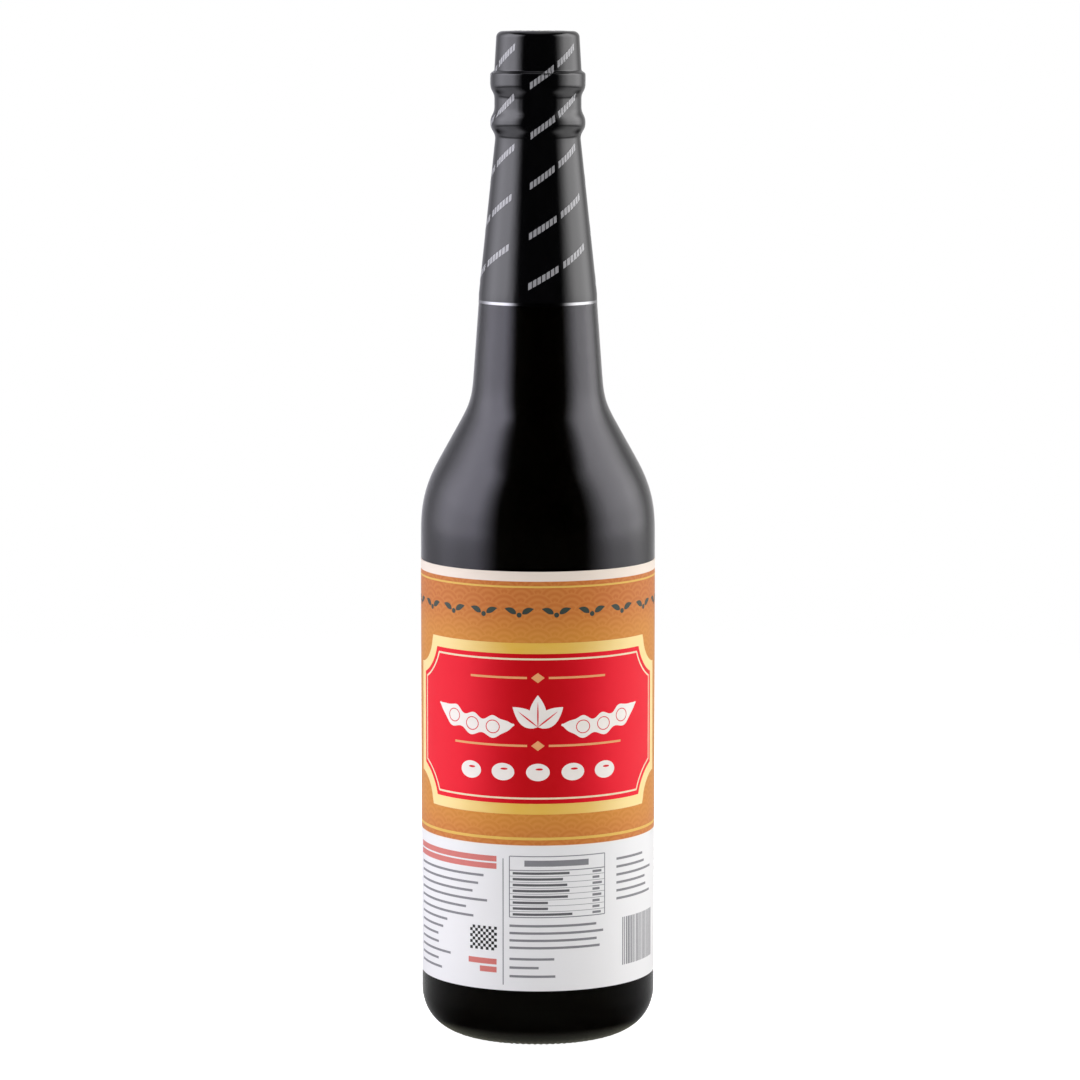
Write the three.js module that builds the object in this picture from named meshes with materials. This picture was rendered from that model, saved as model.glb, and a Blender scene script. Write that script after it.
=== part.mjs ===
// A 600 ml soy sauce bottle: tall glass with a long tapered neck, full of dark sauce, shut by a plastic cap
// under a black shrink sleeve, and wrapped in a printed paper label.
// Millimetres, +Z up, origin at the centre of the base. Every piece is turned about the Z axis.
import * as THREE from "three";

// Driving dimensions of the glass
const BODY_RADIUS = 35;
const WALL = 2.6;
const HEEL_RADIUS = 12.5;
const FOOT_RING_WIDTH = 3;
const PUSH_UP = 3.5;
const BASE_THICKNESS = 4;
const CROWN_FLAT = 0.4;
const SHOULDER_Z = 154.2;
const SHOULDER_RADIUS = 36.7;
const THROAT_RADIUS = 17;
const NECK_FOOT = { radius: 19.4, z: 195, lean: 4 };
const NECK_MIDDLE = { radius: 17.55, z: 220.5 };
const NECK_TOP = { radius: 12.35, z: 269.2 };
const BEAD = { z: 274, half: 4.8, crest: 13.75 };
const FINISH = { radius: 10.1, bore: 7.6, z: 278.8, lip: 1 };
const MOUTH_Z = 297;

// Driving dimensions of the cap, the sleeve and the label
const TOTAL_HEIGHT = 301;
const CAP_RADIUS = 12.55;
const CAP_TOP_RADIUS = 12;
const CAP_CORNER = 1.5;
const CAP_FLANGE = { z: 285.4, half: 4.4, crest: 13.75 };
const FILM = 0.25;
const FOLD_RADIUS = 7.5;
const PAPER = 0.2;
const LABEL_BOTTOM = 18.8;
const LABEL_TOP = 144;

// The sauce stands to a level inside the sleeve, and every piece keeps a little air to the next one
const SAUCE_LEVEL = 224;
const AIR = 0.12;
const SEAT_AIR = 0.3;

// How finely the curves are stepped
const SEGMENTS = 48;
const ROUND_STEPS = 4;
const RING_STEPS = 3;

const CAP_FOOT_Z = FINISH.z + SEAT_AIR;
const CAP_TOP_Z = TOTAL_HEIGHT - FILM - AIR;
const HEEL_CENTRE = BODY_RADIUS - HEEL_RADIUS;
const FOOT_RING_INNER = HEEL_CENTRE - FOOT_RING_WIDTH;

const RIGHT_ANGLE = Math.PI / 2;
const point = (radius, z) => new THREE.Vector2(radius, z);

// Points on an arc about (x, z), from one angle to another in radians, backwards if the second is smaller.
function arc(x, z, radius, from, to, steps) {
  return new THREE.EllipseCurve(x, z, radius, radius, from, to, to < from).getPoints(steps);
}

// The shoulder's straight flank is the line that touches both the shoulder arc and the throat arc.
const neckLean = THREE.MathUtils.degToRad(NECK_FOOT.lean);
const shoulderCentre = point(BODY_RADIUS - SHOULDER_RADIUS, SHOULDER_Z);
const throatCentre = point(
  NECK_FOOT.radius + THROAT_RADIUS * Math.cos(neckLean),
  NECK_FOOT.z + THROAT_RADIUS * Math.sin(neckLean),
);
const between = throatCentre.clone().sub(shoulderCentre);
const flankLean = between.angle() - Math.acos((SHOULDER_RADIUS + THROAT_RADIUS) / between.length());

// The glass wall from the heel up to the top of the neck. An inset draws the same outline further in,
// so that the outside, the inside and the sauce run parallel.
function wall(inset) {
  return [
    ...arc(HEEL_CENTRE, HEEL_RADIUS, HEEL_RADIUS - inset, -RIGHT_ANGLE, 0, ROUND_STEPS),
    ...arc(...shoulderCentre, SHOULDER_RADIUS - inset, 0, flankLean, ROUND_STEPS),
    ...arc(...throatCentre, THROAT_RADIUS + inset, Math.PI + flankLean, Math.PI + neckLean, ROUND_STEPS),
    point(NECK_MIDDLE.radius - inset, NECK_MIDDLE.z),
    point(NECK_TOP.radius - inset, NECK_TOP.z),
  ];
}

// A rounded ring on the neck or cap: an S-curve out from the foot to the crest, and another back in.
function ring({ z, half, crest }, foot, head, grow = 0) {
  const side = (start, end) =>
    new THREE.CubicBezierCurve(
      start,
      point(start.x, (start.y + end.y) / 2),
      point(end.x, (start.y + end.y) / 2),
      end,
    ).getPoints(RING_STEPS);
  const top = point(crest + grow, z);
  const rise = side(point(foot + grow, z - half), top);
  const fall = side(top, point(head + grow, z + half));
  return [...rise, ...fall.slice(1)];
}

// The bead that the glass carries under its finish, and the cap's side from its flange to its top face.
const bead = (grow) => ring(BEAD, NECK_TOP.radius, CAP_RADIUS, grow);

function capSide(grow) {
  const corner = point(CAP_TOP_RADIUS - CAP_CORNER, CAP_TOP_Z - CAP_CORNER);
  return [
    ...ring(CAP_FLANGE, CAP_RADIUS, CAP_RADIUS, grow),
    ...arc(...corner, CAP_CORNER + grow, 0, RIGHT_ANGLE, RING_STEPS),
  ];
}

// A crowned floor from the axis out to a ring, level at both ends of its curve.
function crown(height, ringRadius, ringZ) {
  return new THREE.CubicBezierCurve(
    point(0, height),
    point(ringRadius * CROWN_FLAT, height),
    point(ringRadius * (1 - CROWN_FLAT), ringZ),
    point(ringRadius, ringZ),
  ).getPoints(ROUND_STEPS);
}

// Turns an outline about the Z axis. The outline runs anticlockwise in (radius, z).
function turned(name, outline, material) {
  const geometry = new THREE.LatheGeometry(outline, SEGMENTS).rotateX(RIGHT_ANGLE);
  const mesh = new THREE.Mesh(geometry, material);
  mesh.name = name;
  return mesh;
}

// Glass: clear, with a pushed-up base, a foot ring to stand on, and an open mouth under the cap
function bottle() {
  const outside = [
    ...crown(PUSH_UP, FOOT_RING_INNER, 0),
    ...wall(0),
    ...bead(0).slice(1),
    point(FINISH.radius, FINISH.z),
    ...arc(FINISH.radius - FINISH.lip, MOUTH_Z - FINISH.lip, FINISH.lip, 0, RIGHT_ANGLE, RING_STEPS),
  ];
  const inside = [
    ...crown(PUSH_UP + BASE_THICKNESS, HEEL_CENTRE, WALL).slice(0, -1),
    ...wall(WALL),
    point(FINISH.bore, FINISH.z),
    point(FINISH.bore, MOUTH_Z),
  ];
  const material = new THREE.MeshStandardMaterial({
    color: "#dfe8dc",
    roughness: 0.03,
    metalness: 0,
    transparent: true,
    opacity: 0.35,
  });
  return turned("bottle", [...outside, ...inside.reverse()], material);
}

// Sauce: fills the glass up to its level in the neck
function sauce() {
  const inset = WALL + AIR;
  const fall = (NECK_MIDDLE.radius - NECK_TOP.radius) / (NECK_TOP.z - NECK_MIDDLE.z);
  const levelRadius = NECK_MIDDLE.radius - inset - fall * (SAUCE_LEVEL - NECK_MIDDLE.z);
  const outline = [
    ...crown(PUSH_UP + BASE_THICKNESS + AIR, HEEL_CENTRE, inset).slice(0, -1),
    ...wall(inset).slice(0, -1),
    point(levelRadius, SAUCE_LEVEL),
    point(0, SAUCE_LEVEL),
  ];
  const material = new THREE.MeshStandardMaterial({ color: "#120805", roughness: 0.08, metalness: 0 });
  return turned("sauce", outline, material);
}

// Cap: a plastic cup over the glass finish, with a flange round its side
function cap() {
  const hollow = FINISH.radius + SEAT_AIR;
  const outline = [
    point(hollow, CAP_FOOT_Z),
    point(CAP_RADIUS, CAP_FOOT_Z),
    ...capSide(0),
    point(0, CAP_TOP_Z),
    point(0, MOUTH_Z + SEAT_AIR),
    point(hollow, MOUTH_Z + SEAT_AIR),
    point(hollow, CAP_FOOT_Z),
  ];
  const material = new THREE.MeshStandardMaterial({ color: "#151515", roughness: 0.45, metalness: 0 });
  return turned("cap", outline, material);
}

// Sleeve: black film shrunk over the cap and the upper neck, folded over the cap's top edge
function sleeve() {
  const skin = (grow) => [
    point(NECK_MIDDLE.radius + grow, NECK_MIDDLE.z),
    ...bead(grow),
    ...capSide(grow),
    point(FOLD_RADIUS, CAP_TOP_Z + grow),
  ];
  const outside = skin(AIR + FILM);
  const outline = [...outside, ...skin(AIR).reverse(), outside[0]];
  const material = new THREE.MeshStandardMaterial({ color: "#0b0b0d", roughness: 0.25, metalness: 0 });
  return turned("sleeve", outline, material);
}

// Label: one band of paper right round the body
function label() {
  const inner = BODY_RADIUS + AIR;
  const outer = inner + PAPER;
  const outline = [
    point(inner, LABEL_BOTTOM),
    point(outer, LABEL_BOTTOM),
    point(outer, LABEL_TOP),
    point(inner, LABEL_TOP),
    point(inner, LABEL_BOTTOM),
  ];
  const material = new THREE.MeshStandardMaterial({ color: "#d98a4c", roughness: 0.4, metalness: 0 });
  return turned("label", outline, material);
}

const soySauceBottle = new THREE.Group();
soySauceBottle.add(bottle(), sauce(), cap(), sleeve(), label());

export default soySauceBottle;
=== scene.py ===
# %% [markdown]
# # A bottle of soy sauce
# This lesson dresses a tall glass bottle of soy sauce: clear glass, near-black sauce, a black shrink
# sleeve over the cap and neck, and a printed paper label. Two rules make nearly all of it. An outline
# that is turned about the upright axis makes glass, sauce, cap and film, and a flat drawing that is
# rolled onto the body makes the print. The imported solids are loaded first, because they fix every place
# and size that follows.

import math

import bmesh
import bpy
import numpy as np
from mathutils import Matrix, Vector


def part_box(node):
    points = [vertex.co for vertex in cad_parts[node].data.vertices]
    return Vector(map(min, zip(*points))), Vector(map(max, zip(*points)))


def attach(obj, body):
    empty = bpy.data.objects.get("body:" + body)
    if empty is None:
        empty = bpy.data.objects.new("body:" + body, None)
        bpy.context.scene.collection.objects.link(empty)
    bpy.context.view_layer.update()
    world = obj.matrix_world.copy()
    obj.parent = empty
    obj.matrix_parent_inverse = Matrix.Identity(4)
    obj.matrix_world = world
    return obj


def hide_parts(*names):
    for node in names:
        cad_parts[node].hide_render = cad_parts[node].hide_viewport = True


MM = 0.001

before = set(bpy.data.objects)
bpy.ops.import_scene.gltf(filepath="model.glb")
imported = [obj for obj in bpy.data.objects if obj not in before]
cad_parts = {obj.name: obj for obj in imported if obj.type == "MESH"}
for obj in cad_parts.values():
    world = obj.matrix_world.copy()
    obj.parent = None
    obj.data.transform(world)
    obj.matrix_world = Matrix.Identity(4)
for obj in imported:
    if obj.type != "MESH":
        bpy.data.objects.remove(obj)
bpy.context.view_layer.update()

# %% [markdown]
# ## Sizes
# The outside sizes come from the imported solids. The rest are the sizes that the solids were drawn with,
# in millimetres, apart from the ledge on the flange, which only this lesson makes. Working in millimetres
# keeps the numbers easy to read, and each mesh is brought to metres when it is made.

# %% Sizes from the frame, and the bottle's own
bottle_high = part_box("bottle")[1] / MM
sleeve_low, sleeve_high = (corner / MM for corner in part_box("sleeve"))
label_low, label_high = (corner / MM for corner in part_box("label"))

BODY_RADIUS = bottle_high.x
MOUTH_Z = bottle_high.z
HEM_Z = sleeve_low.z
TOTAL_HEIGHT = sleeve_high.z
LABEL_FOOT = label_low.z
LABEL_HEAD = label_high.z

WALL = 2.6
HEEL_RADIUS = 12.5
HEEL_CENTRE = BODY_RADIUS - HEEL_RADIUS
FOOT_RING_WIDTH = 3
PUSH_UP = 3.5
BASE_THICKNESS = 4
CROWN_FLAT = 0.4
SHOULDER_Z = 154.2
SHOULDER_RADIUS = 36.7
THROAT_RADIUS = 17
NECK_FOOT_RADIUS, NECK_FOOT_Z, NECK_LEAN = 19.4, 195, math.radians(4)
NECK_MIDDLE_RADIUS = 17.55
NECK_TOP_RADIUS, NECK_TOP_Z = 12.35, 269.2
RING_CREST = 13.75
BEAD_Z, BEAD_HALF = 274, 4.8
FLANGE_Z, FLANGE_HALF, FLANGE_LEDGE = 285.4, 4.4, 1.6
FINISH_RADIUS, BORE_RADIUS, FINISH_Z, LIP = 10.1, 7.6, 278.8, 1
CAP_RADIUS, CAP_TOP_RADIUS, CAP_CORNER = 12.55, 12, 1.5
SAUCE_LEVEL = 224

print("body radius", round(BODY_RADIUS, 2), "height", round(TOTAL_HEIGHT, 2), "hem at", round(HEM_Z, 2))

# %% [markdown]
# ## Arcs and lines
# A bottle's side is a run of arcs joined by lines that touch them. Blender's own curves could draw it,
# but a few functions that give plain points are easier to steer, because every point can be measured and
# moved.

# %% Arcs, lines and smooth steps
RIGHT_ANGLE = math.pi / 2


def arc(x, z, radius, start, end, step):
    """Points on an arc about (x, z), from one angle to another, about a step apart."""
    turn = np.linspace(start, end, round(radius * abs(end - start) / step) + 2)
    return [(x + radius * math.cos(a), z + radius * math.sin(a)) for a in turn]


def line(start, end, step):
    """Points along a straight line, about a step apart, without its first point."""
    share = np.linspace(0, 1, round(math.dist(start, end) / step) + 2)[1:]
    return [(start[0] + (end[0] - start[0]) * t, start[1] + (end[1] - start[1]) * t) for t in share]


def relaxed(points, passes):
    """Averages neighbours, so that one arc flows into the next with no jump in its curve."""
    path = np.array(points)
    for _ in range(passes):
        path[1:-1] = path[:-2] / 4 + path[1:-1] / 2 + path[2:] / 4
    return [tuple(point) for point in path]


def ease(t):
    """A smooth step from 0 to 1."""
    t = min(max(t, 0), 1)
    return t * t * (3 - 2 * t)


print("a quarter turn of 10 mm in steps of 1 mm has", len(arc(0, 0, 10, 0, RIGHT_ANGLE, 1)), "points")

# %% [markdown]
# ## The glass wall
# The side has a round heel, a straight wall, a wide shoulder arc, a straight flank, a tight throat and a
# neck. The flank is the line that touches both arcs. Where an arc meets a line its curve jumps, and a
# reflection would show that as a kink, so the part above the label is relaxed a little. The inset moves
# the whole outline inwards, so that the outside, the inside and the sauce all come from one path.

# %% The outline of the glass
WALL_STEP, LONG_STEP = 1.5, 6.0
RELAX_PASSES = 8
UNDER_LABEL = 4
CUT_CLEAR = 0.1

shoulder_x = BODY_RADIUS - SHOULDER_RADIUS
throat_x = NECK_FOOT_RADIUS + THROAT_RADIUS * math.cos(NECK_LEAN)
throat_z = NECK_FOOT_Z + THROAT_RADIUS * math.sin(NECK_LEAN)
between = math.hypot(throat_x - shoulder_x, throat_z - SHOULDER_Z)
towards = math.atan2(throat_z - SHOULDER_Z, throat_x - shoulder_x)
FLANK_LEAN = towards - math.acos((SHOULDER_RADIUS + THROAT_RADIUS) / between)


def neck_radius(z):
    """The glass under the sleeve tapers evenly from the hem to the bead."""
    share = (z - HEM_Z) / (NECK_TOP_Z - HEM_Z)
    return NECK_MIDDLE_RADIUS + (NECK_TOP_RADIUS - NECK_MIDDLE_RADIUS) * share


def outer_wall():
    """The outside of the glass, from the heel to the bead."""
    lower = arc(HEEL_CENTRE, HEEL_RADIUS, HEEL_RADIUS, -RIGHT_ANGLE, 0, WALL_STEP / 2)
    lower += line(lower[-1], (BODY_RADIUS, LABEL_HEAD - UNDER_LABEL), LONG_STEP)
    upper = line(lower[-1], (BODY_RADIUS, SHOULDER_Z), WALL_STEP)[:-1]
    upper += arc(shoulder_x, SHOULDER_Z, SHOULDER_RADIUS, 0, FLANK_LEAN, WALL_STEP)
    throat = arc(throat_x, throat_z, THROAT_RADIUS, math.pi + FLANK_LEAN, math.pi + NECK_LEAN, WALL_STEP)
    upper += line(upper[-1], throat[0], WALL_STEP)[:-1] + throat
    upper += line(upper[-1], (NECK_MIDDLE_RADIUS, HEM_Z), WALL_STEP)
    neck = line(upper[-1], (NECK_TOP_RADIUS, NECK_TOP_Z), LONG_STEP)
    return lower + relaxed(upper, RELAX_PASSES) + neck


OUTER_WALL = outer_wall()


def glass_wall(inset, top=NECK_TOP_Z):
    """The same wall moved inwards by inset, along its own normals, and cut off at a height."""
    path = np.array(OUTER_WALL)
    slope = np.gradient(path, axis=0)
    outwards = np.stack([slope[:, 1], -slope[:, 0]], axis=1)
    path -= inset * outwards / np.linalg.norm(outwards, axis=1)[:, None]
    end = (float(np.interp(top, path[:, 1], path[:, 0])), top)
    return [tuple(point) for point in path if point[1] < top - CUT_CLEAR] + [end]


print("the flank leans", round(math.degrees(FLANK_LEAN), 1), "degrees")
print("the wall has", len(OUTER_WALL), "points")

# %% [markdown]
# ## Rings and floors
# The bead and the cap's flange are rounded rings. Each swells to a crest and falls back, and its outline
# is upright at its start, at its crest and at its end. The pushed-up base is a crowned floor, level in
# its middle and at its rim. Cubic curves make both, because the direction of each end can be chosen. A
# short ledge gives the flange the crease that its film shows.

# %% Rings and crowned floors
RING_STEPS, CROWN_STEPS = 12, 14
LEDGE_STEP = 0.5


def s_curve(start, end, steps):
    """From one upright stretch to another at a different radius."""
    middle = (start[1] + end[1]) / 2
    points = []
    for t in np.linspace(0, 1, steps + 1):
        keep = 1 - t
        z = start[1] * keep**3 + 3 * middle * t * keep + end[1] * t**3
        points.append((start[0] + (end[0] - start[0]) * ease(t), z))
    return points


def ring(z, half, foot, head, grow, ledge=None):
    """A rounded ring: out from the foot to its crest, and back to the head, at once or over a ledge."""
    crest = (RING_CREST + grow, z)
    path = s_curve((foot + grow, z - half), crest, RING_STEPS)
    if ledge:
        path += line(crest, (crest[0], z + half - ledge), LEDGE_STEP)
    return path + s_curve(path[-1], (head + grow, z + half), RING_STEPS)[1:]


def bead(grow):
    """The bead that the glass carries under its mouth."""
    return ring(BEAD_Z, BEAD_HALF, NECK_TOP_RADIUS, CAP_RADIUS, grow)[1:]


def crown(height, radius, z):
    """A crowned floor from the axis out to a ring, level at both ends."""
    points = []
    for t in np.linspace(0, 1, CROWN_STEPS + 1):
        keep = 1 - t
        r = radius * (3 * t * keep**2 * CROWN_FLAT + 3 * t**2 * keep * (1 - CROWN_FLAT) + t**3)
        points.append((r, height + (z - height) * ease(t)))
    return points


print("the bead's outline has", len(bead(0)), "points")

# %% [markdown]
# ## Wires
# Node trees are easier to read as formulas. This small class wraps one socket: arithmetic on it adds Math
# nodes, and one method adds any other node, given its type, what goes into its sockets, and its settings.
# The same class serves geometry trees and materials, because both use the same Math node.

# %% The Wire class
class Wire:
    """One socket of a node tree. Arithmetic on it adds Math nodes."""

    def __init__(self, socket):
        self.socket = socket
        self.tree = socket.id_data

    @staticmethod
    def node(tree, kind, sockets=None, **settings):
        """Adds a node, sets it up, fills its sockets by name or number, and gives its first output."""
        made = tree.nodes.new(kind)
        for name, value in settings.items():
            setattr(made, name, value)
        live = [socket for socket in made.inputs if socket.enabled]
        for key, value in (sockets or {}).items():
            socket = live[key] if isinstance(key, int) else next(s for s in live if s.name == key)
            if isinstance(value, Wire):
                tree.links.new(value.socket, socket)
            else:
                socket.default_value = value
        results = [socket for socket in made.outputs if socket.enabled]
        return Wire(results[0]) if results else None

    def out(self, name):
        """Another output of the same node."""
        return Wire(self.socket.node.outputs[name])

    def math(self, operation, *others):
        """A Math node on this value and the others."""
        values = dict(enumerate((self, *others)))
        return Wire.node(self.tree, "ShaderNodeMath", values, operation=operation)

    def __add__(self, other):
        return self.math("ADD", other)

    __radd__ = __add__

    def __sub__(self, other):
        return self.math("SUBTRACT", other)

    def __rsub__(self, other):
        return (self * -1) + other

    def __mul__(self, other):
        return self.math("MULTIPLY", other)

    __rmul__ = __mul__

    def __truediv__(self, other):
        return self.math("DIVIDE", other)

    def __rtruediv__(self, other):
        return self.math("POWER", -1) * other

    def rise(self, low, high):
        """A smooth step from 0 at low to 1 at high."""
        values = {0: self, 1: low, 2: high, 3: 0.0, 4: 1.0}
        return Wire.node(self.tree, "ShaderNodeMapRange", values, interpolation_type="SMOOTHSTEP")

    def parts(self):
        """The three numbers of a vector."""
        apart = Wire.node(self.tree, "ShaderNodeSeparateXYZ", {0: self})
        return apart.out("X"), apart.out("Y"), apart.out("Z")


scratch = bpy.data.node_groups.new("scratch", "ShaderNodeTree")
formula = 1 - 2 / Wire.node(scratch, "ShaderNodeValue")
print("the formula 1 - 2 / x takes", len(formula.tree.nodes), "nodes")

# %% [markdown]
# ## Vectors
# A Math node works on single numbers, so vectors are put together and scaled by nodes of their own. The
# scratch tree of the last cell is used once more, and then removed.

# %% Vectors from numbers
def vector(tree, x=0.0, y=0.0, z=0.0):
    """A vector from three numbers."""
    return Wire.node(tree, "ShaderNodeCombineXYZ", {0: x, 1: y, 2: z})


def scaled(tree, arrow, factor):
    """A vector times a number."""
    return Wire.node(tree, "ShaderNodeVectorMath", {"Vector": arrow, "Scale": factor}, operation="SCALE")


def length_of(x, y):
    """The length of a flat vector."""
    return (x * x + y * y).math("SQRT")


before = len(scratch.nodes)
length_of(formula, formula)
print("a length takes", len(scratch.nodes) - before, "nodes")
bpy.data.node_groups.remove(scratch)

# %% [markdown]
# ## Geometry trees
# Each tree takes a mesh, has named inputs for its sizes and gives a mesh back. It ends by making copies
# real, shading them smooth and setting the material. A few small functions name the steps that come back
# in each tree: a row of points, copies on points, and a move.

# %% Make a tree
FLOAT, WHOLE, VECTOR = "NodeSocketFloat", "NodeSocketInt", "NodeSocketVector"
OBJECT, MATERIAL, GEOMETRY = "NodeSocketObject", "NodeSocketMaterial", "NodeSocketGeometry"


def geometry_tree(name, inputs):
    """A tree with inputs that are listed by kind. Gives it, a wire for each input, and what ends it."""
    tree = bpy.data.node_groups.new(name, "GeometryNodeTree")
    for kind, labels in {GEOMETRY: ["Geometry"], **inputs, MATERIAL: ["Material"]}.items():
        for label in labels:
            tree.interface.new_socket(label, in_out="INPUT", socket_type=kind)
    tree.interface.new_socket("Geometry", in_out="OUTPUT", socket_type=GEOMETRY)
    source = tree.nodes.new("NodeGroupInput")
    wires = {socket.name: Wire(socket) for socket in source.outputs if socket.name}

    def end(mesh):
        real = Wire.node(tree, "GeometryNodeRealizeInstances", {"Geometry": mesh})
        smooth = Wire.node(tree, "GeometryNodeSetShadeSmooth", {"Geometry": real})
        dressing = {"Geometry": smooth, "Material": wires["Material"]}
        dressed = Wire.node(tree, "GeometryNodeSetMaterial", dressing)
        Wire.node(tree, "NodeGroupOutput", {0: dressed})
        print("the tree", name, "has", len(tree.nodes), "nodes")
        return tree

    return tree, wires, end


def own_place(tree):
    """The place of each point of a mesh, as three numbers."""
    return Wire.node(tree, "GeometryNodeInputPosition").parts()


def point_row(tree, count, step, start=(0, 0, 0)):
    """A row of points, each a step from the last."""
    row = {"Count": count, "Start Location": start, "Offset": step}
    return Wire.node(tree, "GeometryNodeMeshLine", row)


def copied(tree, points, shape, **more):
    """A real copy of a shape on every point."""
    copies = Wire.node(tree, "GeometryNodeInstanceOnPoints", {"Points": points, "Instance": shape, **more})
    return Wire.node(tree, "GeometryNodeRealizeInstances", {"Geometry": copies})


def moved(tree, mesh, **where):
    """A mesh with its points put at a Position, or moved by an Offset."""
    return Wire.node(tree, "GeometryNodeSetPosition", {"Geometry": mesh, **where})


print("made the helpers geometry_tree, own_place, point_row, copied and moved")

# %% [markdown]
# ## Pieces
# A piece starts from points in millimetres, which are brought to metres as its mesh is made. A tree is
# added as a modifier, and its inputs are set by the socket's identifier before Blender first evaluates
# the object. Layers of ink also get a thickness.

# %% Make a piece, and give it trees
def new_piece(name, points, faces=()):
    """A mesh from points in millimetres, brought to metres and put in the scene."""
    mesh = bpy.data.meshes.new(name)
    mesh.from_pydata([tuple(value * MM for value in p) for p in points], (), faces)
    piece = bpy.data.objects.new(name, mesh)
    bpy.context.scene.collection.objects.link(piece)
    return piece


def add_tree(piece, tree, values, sizes):
    """Gives the piece a tree as a modifier. Sizes are in millimetres, and values go in as they are."""
    ready = dict(values)
    for name, size in sizes.items():
        ready[name] = tuple(part * MM for part in size) if isinstance(size, tuple) else size * MM
    modifier = piece.modifiers.new(tree.name, "NODES")
    modifier.node_group = tree
    for item in tree.interface.items_tree:
        if item.in_out == "INPUT" and item.name in ready:
            modifier[item.identifier] = ready[item.name]


def thicken(piece, thickness):
    """Gives a layer of ink its thickness, inwards from its face."""
    layer = piece.modifiers.new("ink", "SOLIDIFY")
    layer.thickness = thickness * MM
    layer.offset = -1


print("a size of 35 goes into a tree as", 35 * MM)

# %% [markdown]
# ## Plain meshes
# What the modifiers made is stored as a plain mesh, so that nothing live is left when the piece joins the
# frame. A turned grid ends where it began, so points that meet are merged. Only real edges stay sharp. On
# ink the limit is higher, because the rim of a layer is its only real edge.

# %% Store the mesh and join it to the body
WELD = 0.002
BEND, PRINT_BEND = 40, 60


def settle(piece, bend=BEND):
    """Stores what the modifiers made as a closed mesh, facing outwards and sharp only at real edges."""
    ready = piece.evaluated_get(bpy.context.evaluated_depsgraph_get())
    mesh = bpy.data.meshes.new_from_object(ready)
    piece.modifiers.clear()
    piece.data = mesh
    mesh.name = piece.name
    shape = bmesh.new()
    shape.from_mesh(mesh)
    bmesh.ops.remove_doubles(shape, verts=shape.verts, dist=WELD * MM)
    bmesh.ops.holes_fill(shape, edges=[edge for edge in shape.edges if edge.is_boundary])
    bmesh.ops.recalc_face_normals(shape, faces=shape.faces)
    shape.to_mesh(mesh)
    shape.free()
    mesh.set_sharp_from_angle(angle=math.radians(bend))
    print(piece.name, len(mesh.polygons), "faces")
    return piece


def join_body(piece, slot, *nodes):
    """Every piece rides on the one body and may stand for solids. Its slot is not used."""
    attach(piece, "root")
    if nodes:
        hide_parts(*nodes)
    return piece


print("points closer than", WELD, "mm are merged, and edges past", BEND, "degrees stay sharp")

# %% [markdown]
# ## Turning
# A lathe's rule: every point of the outline goes round the axis. Blender's Spin or a Screw modifier would
# do, but a grid in Geometry Nodes also gives a map for free. One side of the grid counts the outline's
# points and the other counts the steps round the axis, which starts and ends at the back. The label uses
# the same tree with a little more than a full turn, and its last stretch lifts over its first, as a glued
# overlap does.

# %% The turning tree
LAP_RAMP = 0.12


def lap_rise(turn, given):
    """How far a sheet stands off where its last stretch climbs over its first."""
    return turn.rise(given["Lap Start"] - LAP_RAMP, given["Lap Start"]) * given["Lap Lift"]


def turning_tree():
    inputs = {WHOLE: ["Segments"], FLOAT: ["Sweep", "Lap Start", "Lap Lift"]}
    tree, given, end = geometry_tree("turned_on_the_axis", inputs)
    outline = given["Geometry"]
    count = Wire.node(tree, "GeometryNodeAttributeDomainSize", {"Geometry": outline})
    sides = {"Vertices X": given["Segments"] + 1, "Vertices Y": count}
    grid = Wire.node(tree, "GeometryNodeMeshGrid", sides)
    index = Wire.node(tree, "GeometryNodeInputIndex")
    column = (index / count).math("FLOOR")
    row = index - column * count

    def on_outline(kind, value):
        sample = {"Geometry": outline, "Value": value, "Index": row}
        return Wire.node(tree, "GeometryNodeSampleIndex", sample, data_type=kind, domain="POINT")

    radius, _, height = on_outline("FLOAT_VECTOR", Wire.node(tree, "GeometryNodeInputPosition")).parts()
    share = column / given["Segments"]
    turn = (share - 0.5) * given["Sweep"]
    radius = radius + lap_rise(turn, given)
    place = vector(tree, radius * turn.math("SINE"), radius * turn.math("COSINE") * -1, height)

    along = Wire.node(tree, "GeometryNodeInputNamedAttribute", {"Name": "along"}, data_type="FLOAT")
    spread = vector(tree, share, on_outline("FLOAT", along), 0.0)
    per_point = {"data_type": "FLOAT_VECTOR", "domain": "POINT"}
    chart = Wire.node(tree, "GeometryNodeFieldOnDomain", {"Value": spread}, **per_point)
    stored = {"Geometry": grid, "Name": "OFBake", "Value": chart}
    per_corner = {"data_type": "FLOAT2", "domain": "CORNER"}
    mapped = Wire.node(tree, "GeometryNodeStoreNamedAttribute", stored, **per_corner)
    return end(moved(tree, mapped, Position=place))


TURNED = turning_tree()

# %% [markdown]
# ## A turned piece
# The map's upright direction follows the length of the outline, so that a baked picture isn't stretched.
# The inside of a wall shows little, so its stretch of the map is made smaller and leaves more room for
# the outside.

# %% Turn an outline
HIDDEN_SHARE = 0.25


def turned(name, outline, material, segments=180, sweep=math.tau, lap=(math.tau, 0.0), hidden=HIDDEN_SHARE):
    """Turns an outline of (radius, z) in millimetres. What follows its highest point counts as hidden."""
    piece = new_piece(name, [(r, 0, z) for r, z in outline])
    steps = np.linalg.norm(np.diff(np.array(outline), axis=0), axis=1)
    top = int(np.argmax([z for _, z in outline]))
    steps[top:] *= hidden
    along = np.concatenate([[0], np.cumsum(steps)]) / steps.sum()
    piece.data.attributes.new("along", "FLOAT", "POINT").data.foreach_set("value", along.astype(np.float32))
    values = {"Segments": segments, "Sweep": sweep, "Lap Start": lap[0], "Material": material}
    add_tree(piece, TURNED, values, {"Lap Lift": lap[1]})
    return piece


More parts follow.
